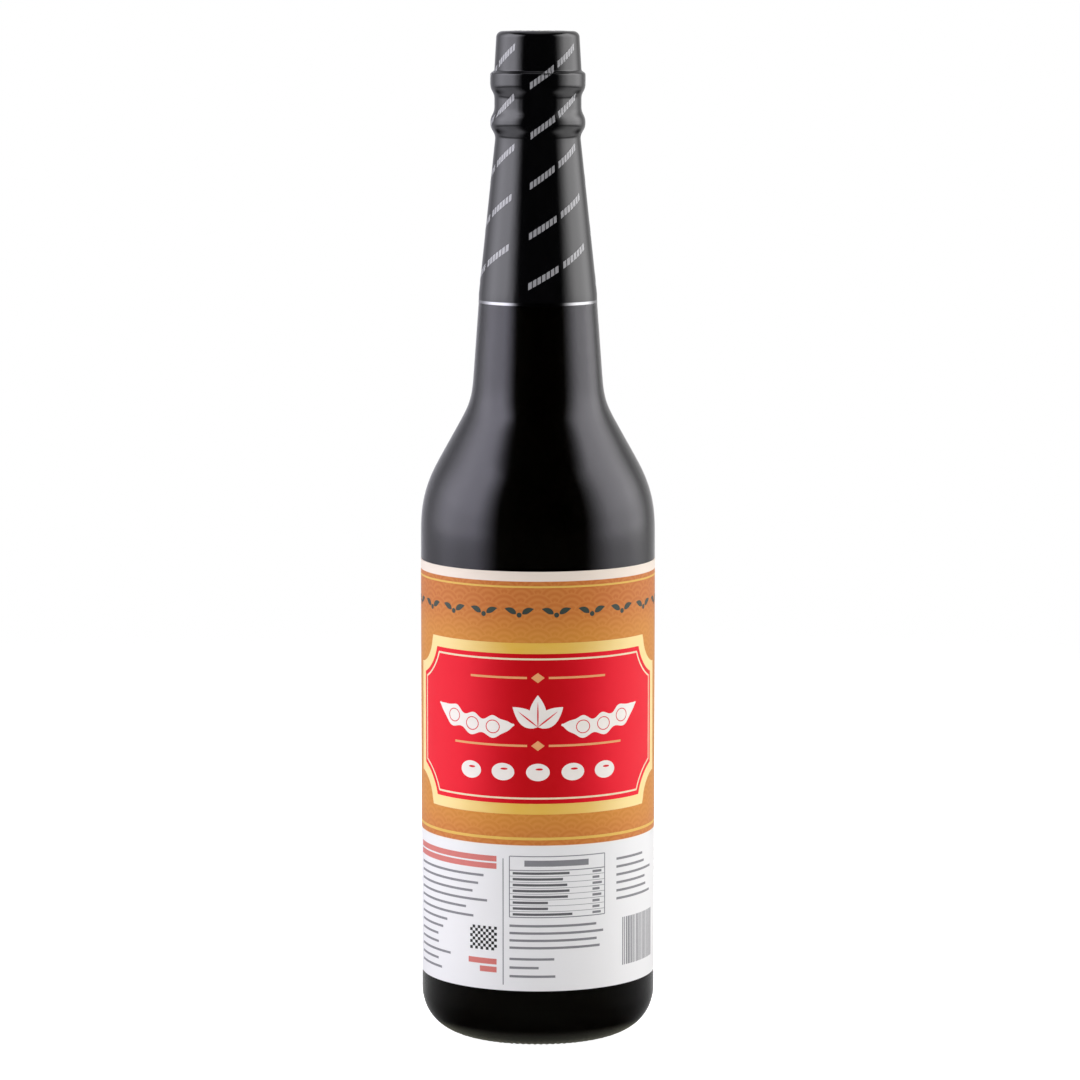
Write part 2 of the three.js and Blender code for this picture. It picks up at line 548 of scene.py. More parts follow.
print("a hidden stretch gets", HIDDEN_SHARE, "of its share of the map")

# %% [markdown]
# ## Colours
# Colours are easiest to pick as a screen shows them, from 0 to 255, but a shader needs amounts of light.
# One function turns the first into the second, and another starts an empty material.

# %% Colours and empty materials
def linear(red, green, blue):
    """A colour as picked on a screen, from 0 to 255, turned into light."""
    def light(value):
        value /= 255
        return value / 12.92 if value <= 0.04045 else ((value + 0.055) / 1.055) ** 2.4

    return (light(red), light(green), light(blue), 1.0)


def grey(value):
    """A neutral colour, given as light."""
    return (value, value, value, 1.0)


def new_finish(name):
    """An empty material and its tree."""
    material = bpy.data.materials.new(name)
    material.use_nodes = True
    material.node_tree.nodes.clear()
    return material, material.node_tree


print("a screen grey of 128 is", round(linear(128, 128, 128)[0], 3), "as light")

# %% [markdown]
# ## Finishes
# A finish starts from where a point is on the piece, in metres, so that a pattern stays put from every
# side. The helpers below give that place, soft noise, a mix of two colours and a bump. Many finishes are
# then one call, because their colour, roughness and relief follow a single noise.

# %% Helpers for finishes
def place_of(tree):
    """The place of each point of the piece, in metres."""
    return Wire.node(tree, "ShaderNodeTexCoord").out("Object")


def noise(tree, size, detail=2.0, stretch=(1, 1, 1)):
    """Soft noise from 0 to 1, with lumps of about the given size in millimetres."""
    spot = Wire.node(tree, "ShaderNodeMapping", {"Vector": place_of(tree), "Scale": stretch})
    lumps = {"Vector": spot, "Scale": 1 / (size * MM), "Detail": detail}
    return Wire.node(tree, "ShaderNodeTexNoise", lumps)


def mix(tree, share, first, second):
    """One colour that turns into another."""
    return Wire.node(tree, "ShaderNodeMix", {"Factor": share, "A": first, "B": second}, data_type="RGBA")


def bump(tree, height, depth):
    """A normal from a height, where depth is the height of a full step in millimetres."""
    return Wire.node(tree, "ShaderNodeBump", {"Height": height, "Distance": depth * MM, "Strength": 1.0})


def finish(material, sockets):
    """Ends a finish in one surface shader, and gives the material."""
    tree = material.node_tree
    shader = Wire.node(tree, "ShaderNodeBsdfPrincipled", sockets)
    Wire.node(tree, "ShaderNodeOutputMaterial", {"Surface": shader})
    print("the finish", material.name, "has", len(tree.nodes), "nodes")
    return material


def speckled(name, colours, size, rough, detail=2.0, relief=0.0, constants=None):
    """A finish whose colour and roughness follow one noise, and a fine relief where one is given."""
    material, tree = new_finish(name)
    cloud = noise(tree, size, detail)
    sockets = {"Base Color": mix(tree, cloud, *colours), "Roughness": cloud * rough[1] + rough[0]}
    if relief:
        sockets["Normal"] = bump(tree, cloud, relief)
    return finish(material, {**sockets, **(constants or {})})


print("made the helpers place_of, noise, mix, bump, finish and speckled")

# %% [markdown]
# ## Glass
# Container glass is clear, with a faint green cast where it is thick. It is blown into a mould, so its
# surface is never quite flat and reflections bend a little. A bump of soft noise does that, and a second
# noise makes handled places a little less sharp.

# %% Glass finish
GLASS_COLOUR = (0.84, 0.87, 0.72, 1.0)
# The specular tint is painted light: a faint violet cast on the glass's reflections that stands for the
# colour of the lamps.
PAINTED_REFLECTION_TINT = (0.93, 0.91, 1.0, 1.0)


def clear_glass():
    material, tree = new_finish("clear_glass")
    handling = noise(tree, size=9, detail=3.0)
    swell = noise(tree, size=16, detail=1.0, stretch=(1, 1, 0.5))
    return finish(
        material,
        {
            "Base Color": GLASS_COLOUR,
            "Roughness": handling * 0.03 + 0.012,
            "IOR": 1.52,
            "Specular Tint": PAINTED_REFLECTION_TINT,
            "Transmission Weight": 1.0,
            "Normal": bump(tree, swell, depth=0.05),
        },
    )


GLASS = clear_glass()

# %% [markdown]
# ## Mould marks
# A blown bottle has two mould seams, one on each side, and a ring of small ridges under its foot. Both
# follow a rule: a seam is where the side faces right or left, and a ridge is a wave round the foot. So a
# second tree moves the turned mesh's own points, which gives real edges where a bump map would only give
# shading.

# %% Mould seams and foot ridges
SEAM_HEIGHT, SEAM_WIDTH, SEAM_FOOT = 0.12, 0.9, (5, 10)
FOOT_RIDGES, FOOT_RIDGE_DEPTH = 90, 0.25
RIDGE_HEIGHT, RIDGE_REACH = (1, 3), (18, 20)


def mould_marks():
    inputs = {FLOAT: ["Seam Height", "Seam Width", "Ridge Depth"], WHOLE: ["Ridges"]}
    tree, given, end = geometry_tree("mould_marks", inputs)
    x, y, z = own_place(tree)
    nx, ny, nz = Wire.node(tree, "GeometryNodeInputNormal").parts()
    radius = length_of(x, y).math("MAXIMUM", 1 * MM)

    def from_to(value, limits):
        return value.rise(limits[0] * MM, limits[1] * MM)

    facing_out = ((nx * x + ny * y) / radius).rise(0.3, 0.6)
    beside = y.math("ABSOLUTE") / given["Seam Width"]
    seam = (1 - beside.rise(0.0, 1.0)) * facing_out * from_to(z, SEAM_FOOT) * given["Seam Height"]
    wave = (x.math("ARCTAN2", y) * given["Ridges"]).math("COSINE") * 0.5 + 0.5
    under = (nz * -1).rise(0.5, 0.8) * (1 - from_to(z, RIDGE_HEIGHT)) * from_to(radius, RIDGE_REACH)
    push = vector(tree, x / radius * seam, y / radius * seam, wave * under * given["Ridge Depth"])
    return end(moved(tree, given["Geometry"], Offset=push))


MOULD_MARKS = mould_marks()

# %% [markdown]
# ## The glass bottle
# One outline goes up the outside, over the lip, and down the inside to the crowned floor. Turned in fine
# steps it is a closed wall with its real thickness, which glass needs, because light bends at both of its
# faces.

# %% Glass bottle
GLASS_SEGMENTS, LIP_STEP = 320, 0.4


def glass_bottle():
    outside = crown(PUSH_UP, HEEL_CENTRE - FOOT_RING_WIDTH, 0) + glass_wall(0) + bead(0)
    outside += [(FINISH_RADIUS, FINISH_Z)]
    outside += arc(FINISH_RADIUS - LIP, MOUTH_Z - LIP, LIP, 0, RIGHT_ANGLE, LIP_STEP)
    inside = crown(PUSH_UP + BASE_THICKNESS, HEEL_CENTRE, WALL)[:-1]
    inside += glass_wall(WALL) + [(BORE_RADIUS, FINISH_Z), (BORE_RADIUS, MOUTH_Z)]
    piece = turned("bottle_glass", outside + inside[::-1], GLASS, GLASS_SEGMENTS)
    marks = {"Seam Height": SEAM_HEIGHT, "Seam Width": SEAM_WIDTH, "Ridge Depth": FOOT_RIDGE_DEPTH}
    add_tree(piece, MOULD_MARKS, {"Ridges": FOOT_RIDGES, "Material": GLASS}, marks)
    return join_body(settle(piece), "glass", "bottle")


glass_bottle()

# %% [markdown]
# ## Sauce
# The sauce fills the glass to a level that the sleeve hides. If it stopped at the inner wall, or just
# short of it, a thin shell of air would shine like a mirror, so it reaches a tenth of a millimetre into
# the wall. Soy sauce is a brown so dark that it reads as black.

# %% Sauce
SAUCE_REACH = 0.1
MENISCUS, LEVEL_STEPS = 1.2, 16
SAUCE_BROWNS = (0.0012, 0.0006, 0.0004, 1), (0.003, 0.0013, 0.0008, 1)
SAUCE = speckled("dark_sauce", SAUCE_BROWNS, 20, (0.25, 0.1), constants={"Specular IOR Level": 0.05})


def sauce_fill():
    inset = WALL - SAUCE_REACH
    outline = crown(PUSH_UP + BASE_THICKNESS - SAUCE_REACH, HEEL_CENTRE, inset)[:-1]
    outline += glass_wall(inset, SAUCE_LEVEL)
    edge = outline[-1][0]
    for t in np.linspace(0.02, 1, LEVEL_STEPS):
        outline.append((edge * (1 - t), SAUCE_LEVEL - MENISCUS * ease(3 * t)))
    return join_body(settle(turned("sauce_fill", outline, SAUCE)), "sauce", "sauce")


sauce_fill()

# %% [markdown]
# ## Cap
# Only the middle of the cap's top can be seen, through the hole that the film leaves. It is a plain
# moulded top with a shallow dish and the small button where plastic flowed into the mould. The rest
# carries the film.

# %% Cap
FILM_GROW = 0.37
CAP_TOP_Z = TOTAL_HEIGHT - FILM_GROW
CAP_SEAT = 0.3
CAP_SEGMENTS, CORNER_STEP = 128, 0.3
DISH_RADIUS, DISH_DEPTH, DISH_EDGE, DISH_BREAK = 6.8, 0.4, 0.3, 0.1
GATE_RADIUS, GATE_HEIGHT, GATE_EDGE = 1.2, 0.25, 0.2
PLASTIC_BLACKS = (0.012, 0.012, 0.013, 1), (0.02, 0.02, 0.021, 1)
PLASTIC = speckled("moulded_black", PLASTIC_BLACKS, 0.35, (0.36, 0.15), relief=0.015)


def cap_side(grow):
    """The cap from its flange to the top face."""
    side = ring(FLANGE_Z, FLANGE_HALF, CAP_RADIUS, CAP_RADIUS, grow, FLANGE_LEDGE)
    corner = (CAP_TOP_RADIUS - CAP_CORNER, CAP_TOP_Z - CAP_CORNER)
    return side + arc(*corner, CAP_CORNER + grow, 0, RIGHT_ANGLE, CORNER_STEP)


def plain_cap():
    hollow, seat, roof = FINISH_RADIUS + CAP_SEAT, FINISH_Z + CAP_SEAT, MOUTH_Z + CAP_SEAT
    dish = CAP_TOP_Z - DISH_DEPTH
    gate = dish + GATE_HEIGHT
    outline = [(hollow, seat), (CAP_RADIUS, seat)] + cap_side(0)
    outline += [(DISH_RADIUS + DISH_EDGE, CAP_TOP_Z), (DISH_RADIUS, CAP_TOP_Z - DISH_BREAK)]
    outline += [(DISH_RADIUS - DISH_EDGE, dish), (GATE_RADIUS + GATE_EDGE, dish)]
    outline += [(GATE_RADIUS, gate), (0, gate), (0, roof), (hollow, roof), (hollow, seat)]
    piece = turned("cap_top", outline, PLASTIC, CAP_SEGMENTS)
    return join_body(settle(piece), "cap_plastic", "cap")


plain_cap()

# %% [markdown]
# ## Shrink film
# Heat pulls the film tight over bead, flange and cap. It clings at its hem, bridges the waists between
# the rings, and folds over the cap's top edge. Black film is glossy, with a slight orange peel that is
# drawn out upwards. The film has two faces, and both follow the same path over the neck and the cap.

# %% Film finish, and the path of the film
FOLD_RADIUS = 7.5
HEM_CLING, HEM_STEPS = 3.0, 7
HUG, FILM_INNER = 0.02, 0.17
NECK_STEP, FOLD_STEP = 1.8, 0.3
FILM_DEEP, FILM_PALE = (0.0012, 0.0012, 0.0014, 1), (0.003, 0.003, 0.0034, 1)


def black_film():
    material, tree = new_finish("black_film")
    peel = noise(tree, size=1.4)
    drawn = noise(tree, size=3.0, stretch=(1, 1, 0.25))
    return finish(
        material,
        {
            "Base Color": mix(tree, drawn, FILM_DEEP, FILM_PALE),
            "Roughness": drawn * 0.08 + 0.07,
            "IOR": 1.61,
            "Normal": bump(tree, peel * 0.3 + drawn, depth=0.03),
        },
    )


FILM = black_film()


def film_radius(up, hug, grow):
    """The film near its hem: tight on the glass at the edge, and standing off a little above it."""
    return neck_radius(HEM_Z + up) + hug + (grow - hug) * ease(up / HEM_CLING)


def film_skin(hug, grow):
    """One face of the film, from the hem over the cap to the edge of the fold."""
    skin = [(film_radius(up, hug, grow), HEM_Z + up) for up in np.linspace(0, HEM_CLING, HEM_STEPS)]
    skin += line(skin[-1], (NECK_TOP_RADIUS + grow, BEAD_Z - BEAD_HALF), NECK_STEP)
    skin += bead(grow) + cap_side(grow)
    return skin + line(skin[-1], (FOLD_RADIUS, CAP_TOP_Z + grow), FOLD_STEP)


print("the film's path has", len(film_skin(FILM_INNER, FILM_GROW)), "points")

# %% [markdown]
# ## Wrinkles
# Shrunk film gathers at its hem, at the waist between the rings, and in small pleats where it folds over
# the top. Cloth simulation would be slow and hard to steer for film this tight, so a tree adds the
# wrinkles where film gathers: noise that is long up the film and narrow across it. The pleats only rise,
# because the cap lies under them.

# %% Wrinkled sleeve
PLEAT_HEIGHT, WRINKLE_DEPTH, EDGE_WANDER = 0.5, 0.07, 1.2
HEM_REACH, HEM_SHARE = 9, 0.6
WAIST_Z, WAIST_REACH = 280, 4
PLEAT_REACH, PLEAT_TOP = 3.2, (1.0, 0.3)
SLEEVE_SEGMENTS = 300


def film_wrinkles():
    inputs = {FLOAT: ["Pleat Height", "Wrinkle Depth", "Edge Wander", "Fold Radius", "Hem", "Top"]}
    tree, given, end = geometry_tree("film_wrinkles", inputs)
    x, y, z = own_place(tree)
    radius = length_of(x, y).math("MAXIMUM", 1 * MM)

    def folds(around, upright=0.0):
        spot = vector(tree, x / radius * around, y / radius * around, z * upright)
        return Wire.node(tree, "ShaderNodeTexNoise", {"Vector": spot, "Scale": 1.0, "Detail": 1.0}) - 0.5

    near_hem = 1 - (z - given["Hem"]).rise(0.0, HEM_REACH * MM)
    waist = 1 - (z - WAIST_Z * MM).math("ABSOLUTE").rise(0.0, WAIST_REACH * MM)
    wrinkle = folds(9.0, 60.0) * (near_hem * HEM_SHARE + waist) * given["Wrinkle Depth"]
    on_top = z.rise(given["Top"] - PLEAT_TOP[0] * MM, given["Top"] - PLEAT_TOP[1] * MM)
    inwards = 1 - radius.rise(given["Fold Radius"], given["Fold Radius"] + PLEAT_REACH * MM)
    crease = (folds(8.0) + folds(19.0) * 0.5).math("MAXIMUM", 0.0)
    pleat = crease * on_top * inwards * given["Pleat Height"]
    aside = wrinkle + folds(5.0) * on_top * inwards * given["Edge Wander"]
    push = vector(tree, x / radius * aside, y / radius * aside, pleat)
    return end(moved(tree, given["Geometry"], Offset=push))


def shrink_sleeve():
    outer, inner = film_skin(FILM_INNER, FILM_GROW), film_skin(HUG, FILM_INNER)
    piece = turned("shrink_sleeve", outer + inner[::-1] + outer[:1], FILM, SLEEVE_SEGMENTS)
    sizes = {"Pleat Height": PLEAT_HEIGHT, "Wrinkle Depth": WRINKLE_DEPTH, "Edge Wander": EDGE_WANDER}
    sizes.update({"Fold Radius": FOLD_RADIUS, "Hem": HEM_Z, "Top": TOTAL_HEIGHT})
    add_tree(piece, film_wrinkles(), {"Material": FILM}, sizes)
    return join_body(settle(piece), "shrink_film", "sleeve")


sleeve = shrink_sleeve()

# %% [markdown]
# ## Silver hem line
# The film carries silver ink. A thin line runs round its hem, as bright as a mirror. Painting it in the
# film's material would blur in a baked map, so it is a thin band of its own that follows the film.

# %% Silver hem line
HEM_LINE_LOW, HEM_LINE_HIGH, HEM_LINE_ROWS = 0.12, 0.95, 5
INK_RISE, INK_ON_FILM = 0.03, 0.045


def silver(name, bright, metallic, rough):
    """Silver ink with fine specks."""
    high = (bright, bright, bright * 1.02, 1)
    low = (bright * 0.8, bright * 0.8, bright * 0.82, 1)
    return speckled(name, (low, high), 0.6, (rough, 0.08), constants={"Metallic": metallic})


def hem_line():
    def face(lift):
        rows = np.linspace(HEM_LINE_LOW, HEM_LINE_HIGH, HEM_LINE_ROWS)
        return [(film_radius(up, FILM_INNER, FILM_GROW) + lift, HEM_Z + up) for up in rows]

    outer, inner = face(INK_RISE), face(-INK_RISE)
    foil = silver("silver_foil", bright=0.42, metallic=1.0, rough=0.1)
    piece = turned("hem_line", outer + inner[::-1] + outer[:1], foil)
    return join_body(settle(piece, PRINT_BEND), "shrink_film")


hem_line()

# %% [markdown]
# ## Slanted marks
# Short slanted marks climb the sleeve in rows, made here of plain blocks with one gap in the middle. Film
# is printed flat before it shrinks, so the marks are laid out flat, by distance round and height: blocks
# in a mark, marks in a ring and rings in a stack. Each point is then dropped onto the film by a ray
# towards the axis.

# %% The tree of slanted marks
RAY = 60 * MM


def marks_tree():
    inputs = {
        OBJECT: ["Film"],
        WHOLE: ["Blocks", "Gap At", "Around", "Rows"],
        FLOAT: ["Span", "Rise", "Pitch", "Print Radius", "Lift"],
        VECTOR: ["First"],
    }
    tree, given, end = geometry_tree("slanted_marks", inputs)
    blocks = given["Blocks"]
    step = vector(tree, given["Span"] / blocks, 0.0, given["Rise"] / blocks)
    spots = point_row(tree, blocks, step, scaled(tree, step, blocks * -0.5 + 0.5))
    pair = {"A": Wire.node(tree, "GeometryNodeInputIndex"), "B": given["Gap At"]}
    at_gap = Wire.node(tree, "FunctionNodeCompare", pair, data_type="INT", operation="EQUAL")
    kept = Wire.node(tree, "GeometryNodeDeleteGeometry", {"Geometry": spots, "Selection": at_gap})
    mark = copied(tree, kept, given["Geometry"])
    beside = vector(tree, given["Print Radius"] * math.tau / given["Around"])
    ring_of_marks = copied(tree, point_row(tree, given["Around"], beside, given["First"]), mark)
    above = vector(tree, 0.0, 0.0, given["Pitch"])
    flat = copied(tree, point_row(tree, given["Rows"], above), ring_of_marks)

    x, _, z = own_place(tree)
    turn = x / given["Print Radius"]
    out_x, out_y = turn.math("SINE"), turn.math("COSINE") * -1
    film = Wire.node(tree, "GeometryNodeObjectInfo", {"Object": given["Film"]}).out("Geometry")
    cast = {
        "Target Geometry": film,
        "Source Position": vector(tree, out_x * RAY, out_y * RAY, z),
        "Ray Direction": vector(tree, out_x * -1, out_y * -1, 0.0),
        "Ray Length": RAY,
    }
    hit = Wire.node(tree, "GeometryNodeRaycast", cast, data_type="FLOAT")
    lift = scaled(tree, hit.out("Hit Normal"), given["Lift"])
    return end(moved(tree, flat, Position=hit.out("Hit Position"), Offset=lift))


MARKS = marks_tree()

# %% [markdown]
# ## One block, and all the marks
# The tree repeats one flat block. It leans as the mark does and has enough rows of faces to follow the
# rings. The ink gets a real thickness last, so that its edges catch light.

# %% Silver marks
MARKS_AROUND, MARK_ROWS, MARK_BLOCKS, MARK_GAP_AT = 4, 5, 15, 7
FIRST_MARK_TURN, FIRST_MARK_Z, MARK_PITCH = math.radians(24), 232.0, 14.7
PRINT_RADIUS = 17.5
MARK_SPAN, MARK_RISE, MARK_HEIGHT = math.radians(68) * PRINT_RADIUS, 11.7, 2.0
BLOCK_SHARE, BLOCK_COLUMNS, BLOCK_ROWS = 0.78, 4, 6
SILVER_INK = silver("silver_ink", bright=0.42, metallic=0.1, rough=0.16)


def mark_block():
    """One flat block, as wide as its share of a step."""
    wide = MARK_SPAN / MARK_BLOCKS * BLOCK_SHARE
    lean = MARK_RISE / MARK_SPAN
    points = []
    for u in np.linspace(-wide / 2, wide / 2, BLOCK_COLUMNS):
        points += [(u, 0, v + u * lean) for v in np.linspace(-MARK_HEIGHT / 2, MARK_HEIGHT / 2, BLOCK_ROWS)]
    faces = []
    for i in range(BLOCK_COLUMNS - 1):
        for k in range(i * BLOCK_ROWS, (i + 1) * BLOCK_ROWS - 1):
            faces.append((k, k + BLOCK_ROWS, k + BLOCK_ROWS + 1, k + 1))
    return new_piece("slanted_marks", points, faces)


def silver_marks():
    piece = mark_block()
    values = {"Film": sleeve, "Blocks": MARK_BLOCKS, "Gap At": MARK_GAP_AT, "Around": MARKS_AROUND}
    values.update({"Rows": MARK_ROWS, "Material": SILVER_INK})
    first = (FIRST_MARK_TURN * PRINT_RADIUS, 0, FIRST_MARK_Z)
    sizes = {"Span": MARK_SPAN, "Rise": MARK_RISE, "First": first, "Pitch": MARK_PITCH}
    sizes.update({"Print Radius": PRINT_RADIUS, "Lift": INK_RISE})
    add_tree(piece, MARKS, values, sizes)
    thicken(piece, INK_ON_FILM)
    return join_body(settle(piece, PRINT_BEND), "shrink_film")


silver_marks()

# %% [markdown]
# ## Wave scales
# The orange field of the label has faint overlapping scales, a traditional pattern of waves. An image
# could hold it, but a formula stays sharp at any size. Each point looks at the three discs that may cover
# it: the lowest one that does is on top, and its distance from that disc's middle gives the rings. Height
# and distance round the body come from the place of the point.

# %% Place on the label, and wave scales
PAPER, PAPER_GAP = 0.12, 0.02
LABEL_RADIUS = BODY_RADIUS + PAPER_GAP + PAPER
WAVE, WAVE_RINGS = 5.0, 3


def label_place(tree):
    """Distance round the body from the front, and height, both in millimetres."""
    x, y, z = place_of(tree).parts()
    return x.math("ARCTAN2", y * -1) * LABEL_RADIUS, z / MM


def wave_scales(u, z):
    """Overlapping scales: each lower row of discs lies over the row above. Gives rings from 0 to 1."""
    lowest = ((z - WAVE) / (WAVE / 2)).math("CEIL")

    def ring_of(row):
        odd = row.math("FLOORED_MODULO", 2.0)
        across = (u + odd * WAVE).math("FLOORED_MODULO", 2 * WAVE) - WAVE
        return length_of(across, z - row * (WAVE / 2)) / WAVE

    first, second, third = ring_of(lowest), ring_of(lowest + 1), ring_of(lowest + 2)
    in_first = 1 - first.math("GREATER_THAN", 1.0)
    in_second = 1 - second.math("GREATER_THAN", 1.0)
    shown = first * in_first + (1 - in_first) * (second * in_second + third * (1 - in_second))
    return (shown * (WAVE_RINGS * math.tau)).math("COSINE") * 0.5 + 0.5


print("the label is", round(math.tau * LABEL_RADIUS, 1), "mm round, and a scale is", 2 * WAVE, "mm wide")

# %% [markdown]
# ## Label paper
# One band of varnished paper goes right round the body and laps over itself at the back. Its large fields
# of colour belong to the paper's own material: a white strip along the top, the orange field, more golden
# near the plaque, and a white panel below. Fibres make the bare paper a little uneven.

# %% Paper
LAP, LAP_GAP = 7.0, 0.02
LAP_START, LAP_END = math.pi - LAP / 2 / LABEL_RADIUS, math.pi + LAP / 2 / LABEL_RADIUS
LAP_LIFT = PAPER + LAP_GAP
STRIP_FOOT, PANEL_TOP, FIELD_BLUR = LABEL_HEAD - 2.9, 62.6, 0.06
PLAQUE_WIDTH, PLAQUE_HEIGHT, PLAQUE_Z, SCOOP = 95.0, 51.0, 97.4, 9.0
GLOW_REACH = 12.0
PAPER_ROWS, PAPER_SEGMENTS, PAPER_HIDDEN = 13, 240, 0.1
WHITE, STRIP_WHITE, FIBRE_GREY = linear(233, 233, 232), linear(239, 226, 211), linear(214, 210, 204)
ORANGE, AMBER, WAVE_GOLD = linear(192, 107, 54), linear(208, 140, 55), linear(240, 178, 96)


def label_paper():
    material, tree = new_finish("label_paper")
    u, z = label_place(tree)
    under_strip = 1 - z.rise(STRIP_FOOT - FIELD_BLUR, STRIP_FOOT + FIELD_BLUR)
    field = z.rise(PANEL_TOP - FIELD_BLUR, PANEL_TOP + FIELD_BLUR) * under_strip
    beside = (u.math("ABSOLUTE") - PLAQUE_WIDTH / 2).math("MAXIMUM", 0.0)
    above = ((z - PLAQUE_Z).math("ABSOLUTE") - PLAQUE_HEIGHT / 2).math("MAXIMUM", 0.0)
    glow = 1 - length_of(beside, above).rise(0.0, GLOW_REACH)
    tone = mix(tree, glow * 0.6 + noise(tree, size=14, detail=3.0) * 0.3, ORANGE, AMBER)
    waved = mix(tree, wave_scales(u, z) * 0.16, tone, WAVE_GOLD)
    fibre = noise(tree, size=0.5, detail=3.0)
    bare = mix(tree, z.rise(PANEL_TOP - 1, PANEL_TOP + 1), WHITE, STRIP_WHITE)
    sheet = mix(tree, fibre * 0.05, bare, FIBRE_GREY)
    return finish(
        material,
        {
            "Base Color": mix(tree, field, sheet, waved),
            "Roughness": fibre * 0.08 + 0.36,
            "Specular IOR Level": 0.18,
            "Normal": bump(tree, noise(tree, size=7) + fibre * 0.08, depth=0.05),
        },
    )


def paper_band():
    inner, outer = BODY_RADIUS + PAPER_GAP, LABEL_RADIUS
    rows = np.linspace(LABEL_FOOT, LABEL_HEAD, PAPER_ROWS)
    outline = [(outer, z) for z in rows] + [(inner, z) for z in rows[::-1]] + [(outer, LABEL_FOOT)]
    lap = (LAP_START, LAP_LIFT)
    piece = turned("label_paper", outline, label_paper(), PAPER_SEGMENTS, 2 * LAP_END, lap, PAPER_HIDDEN)
    return join_body(settle(piece), "label_paper", "label")


paper_band()

# %% [markdown]
# ## Drawing
# The rest of the print is drawn flat, in millimetres across and up the label. A drawing is made of
# ribbons with narrow lanes, because a wide flat face would cut into the round body when it is rolled on.
# Curve objects could be filled instead, but their faces are long and thin and don't bend well.

# %% The drawing class
BAR_STEP = 1.2
LEAF_STEPS = 13
THINNEST = 0.004
BEAN_HALF, EYE_SHIFT, EYE_HALF = (3.5, 2.6), (0.4, 0.9), (1.1, 0.32)


class Drawing:
    """A flat drawing in millimetres, made of narrow faces."""

    def __init__(self):
        self.points = []
        self.faces = []

    def lanes(self, rows):
        """Faces between rows of points that all hold the same number of points."""
        first, wide = len(self.points), len(rows[0])
        for row in rows:
            self.points += [(u, 0, z) for u, z in row]
        for i in range(len(rows) - 1):
            for j in range(wide - 1):
                k = first + i * wide + j
                self.faces.append((k, k + wide, k + wide + 1, k + 1))

    def column_field(self, across, low, high):
        """A field between two heights that change across it."""
        self.lanes([[(u, low(u)), (u, high(u))] for u in across])

    def bar(self, left, right, low, high):
        """An upright oblong."""
        across = np.linspace(left, right, max(2, int((right - left) / BAR_STEP) + 2))
        self.column_field(across, lambda u: low, lambda u: high)

    def ribbon(self, path, half_width, lanes=6):
        """A ribbon along a path of points, with a half width for each share of its length."""
        path = np.array(path, float)
        slope = np.gradient(path, axis=0)
        side = np.stack([-slope[:, 1], slope[:, 0]], axis=1)
        side /= np.linalg.norm(side, axis=1)[:, None]
        rows = []
        for i, share in enumerate(np.linspace(0, 1, len(path))):
            reach = np.linspace(-1, 1, lanes + 1) * max(half_width(share), THINNEST)
            rows.append([tuple(path[i] + side[i] * r) for r in reach])
        self.lanes(rows)

    def level_line(self, left, right, z, half, steps):
        """A level line of even width."""
        self.ribbon([(u, z) for u in np.linspace(left, right, steps)], lambda share: half, 1)

    def spot(self, u, z, half_wide, half_high, lanes=6):
        """An ellipse."""
        turn = np.linspace(-RIGHT_ANGLE, RIGHT_ANGLE, 15 + 2 * int(half_wide))
        path = [(u + half_wide * math.sin(a), z) for a in turn]
        self.ribbon(path, lambda share: half_high * math.cos(-RIGHT_ANGLE + math.pi * share), lanes)

    def loop(self, u, z, half_wide, half_high, line_width):
        """An ellipse drawn as a line."""
        turn = np.linspace(0, math.tau, 29 + 4 * int(half_wide))
        path = [(u + half_wide * math.cos(a), z + half_high * math.sin(a)) for a in turn]
        self.ribbon(path, lambda share: line_width / 2, 1)

    def leaf(self, u, z, length, degrees, half_width, bend=0.0):
        """A leaf from its stalk at (u, z), pointing along an angle."""
        ahead_u, ahead_z = math.cos(math.radians(degrees)), math.sin(math.radians(degrees))
        path = []
        for t in np.linspace(0, 1, LEAF_STEPS):
            along, side = length * t, bend * math.sin(math.pi * t)
            path.append((u + along * ahead_u - side * ahead_z, z + along * ahead_z + side * ahead_u))
        self.ribbon(path, lambda t: half_width * math.sin(math.pi * t**0.8) ** 0.9 if 0 < t < 1 else 0)

    def bean(self, eyes, u, z):
        """A soybean, with its eye in another drawing."""
        self.spot(u, z, *BEAN_HALF)
        eyes.spot(u + EYE_SHIFT[0], z + EYE_SHIFT[1], *EYE_HALF)


sample = Drawing()
sample.leaf(0, 0, 10, 90, 2)
print("a drawn leaf has", len(sample.faces), "faces")

# %% [markdown]
# ## Rolling
# Ink has next to no thickness, yet thin pieces keep every edge sharp in any picture or map, so each ink
# is a thin layer that stands 0.02 mm above the one under it. One tree repeats a drawing in a row, gives
# each copy a length from a seeded draw, which makes the uneven lines of small print, and rolls the row
# onto the label. It follows the lap as the paper does.

# %% The rolling tree
INK, INK_DEPTH = 0.02, 0.024


def rolling_tree():
    inputs = {
        WHOLE: ["Count", "Seed"],
        VECTOR: ["Start", "Step"],
        FLOAT: ["Shortest", "Longest", "Radius", "Lap Start", "Lap Lift"],
    }
    tree, given, end = geometry_tree("rolled_on_the_label", inputs)
    spots = point_row(tree, given["Count"], given["Step"], given["Start"])
    draw = {"Min": given["Shortest"], "Max": given["Longest"], "Seed": given["Seed"]}
    length = Wire.node(tree, "FunctionNodeRandomValue", draw, data_type="FLOAT")
    flat = copied(tree, spots, given["Geometry"], Scale=vector(tree, length, 1.0, 1.0))
    u, _, z = own_place(tree)
    turn = u / (LABEL_RADIUS * MM)
    radius = given["Radius"] + lap_rise(turn, given)
    place = vector(tree, turn.math("SINE") * radius, turn.math("COSINE") * radius * -1, z)
    return end(moved(tree, flat, Position=place))


ROLLED = rolling_tree()


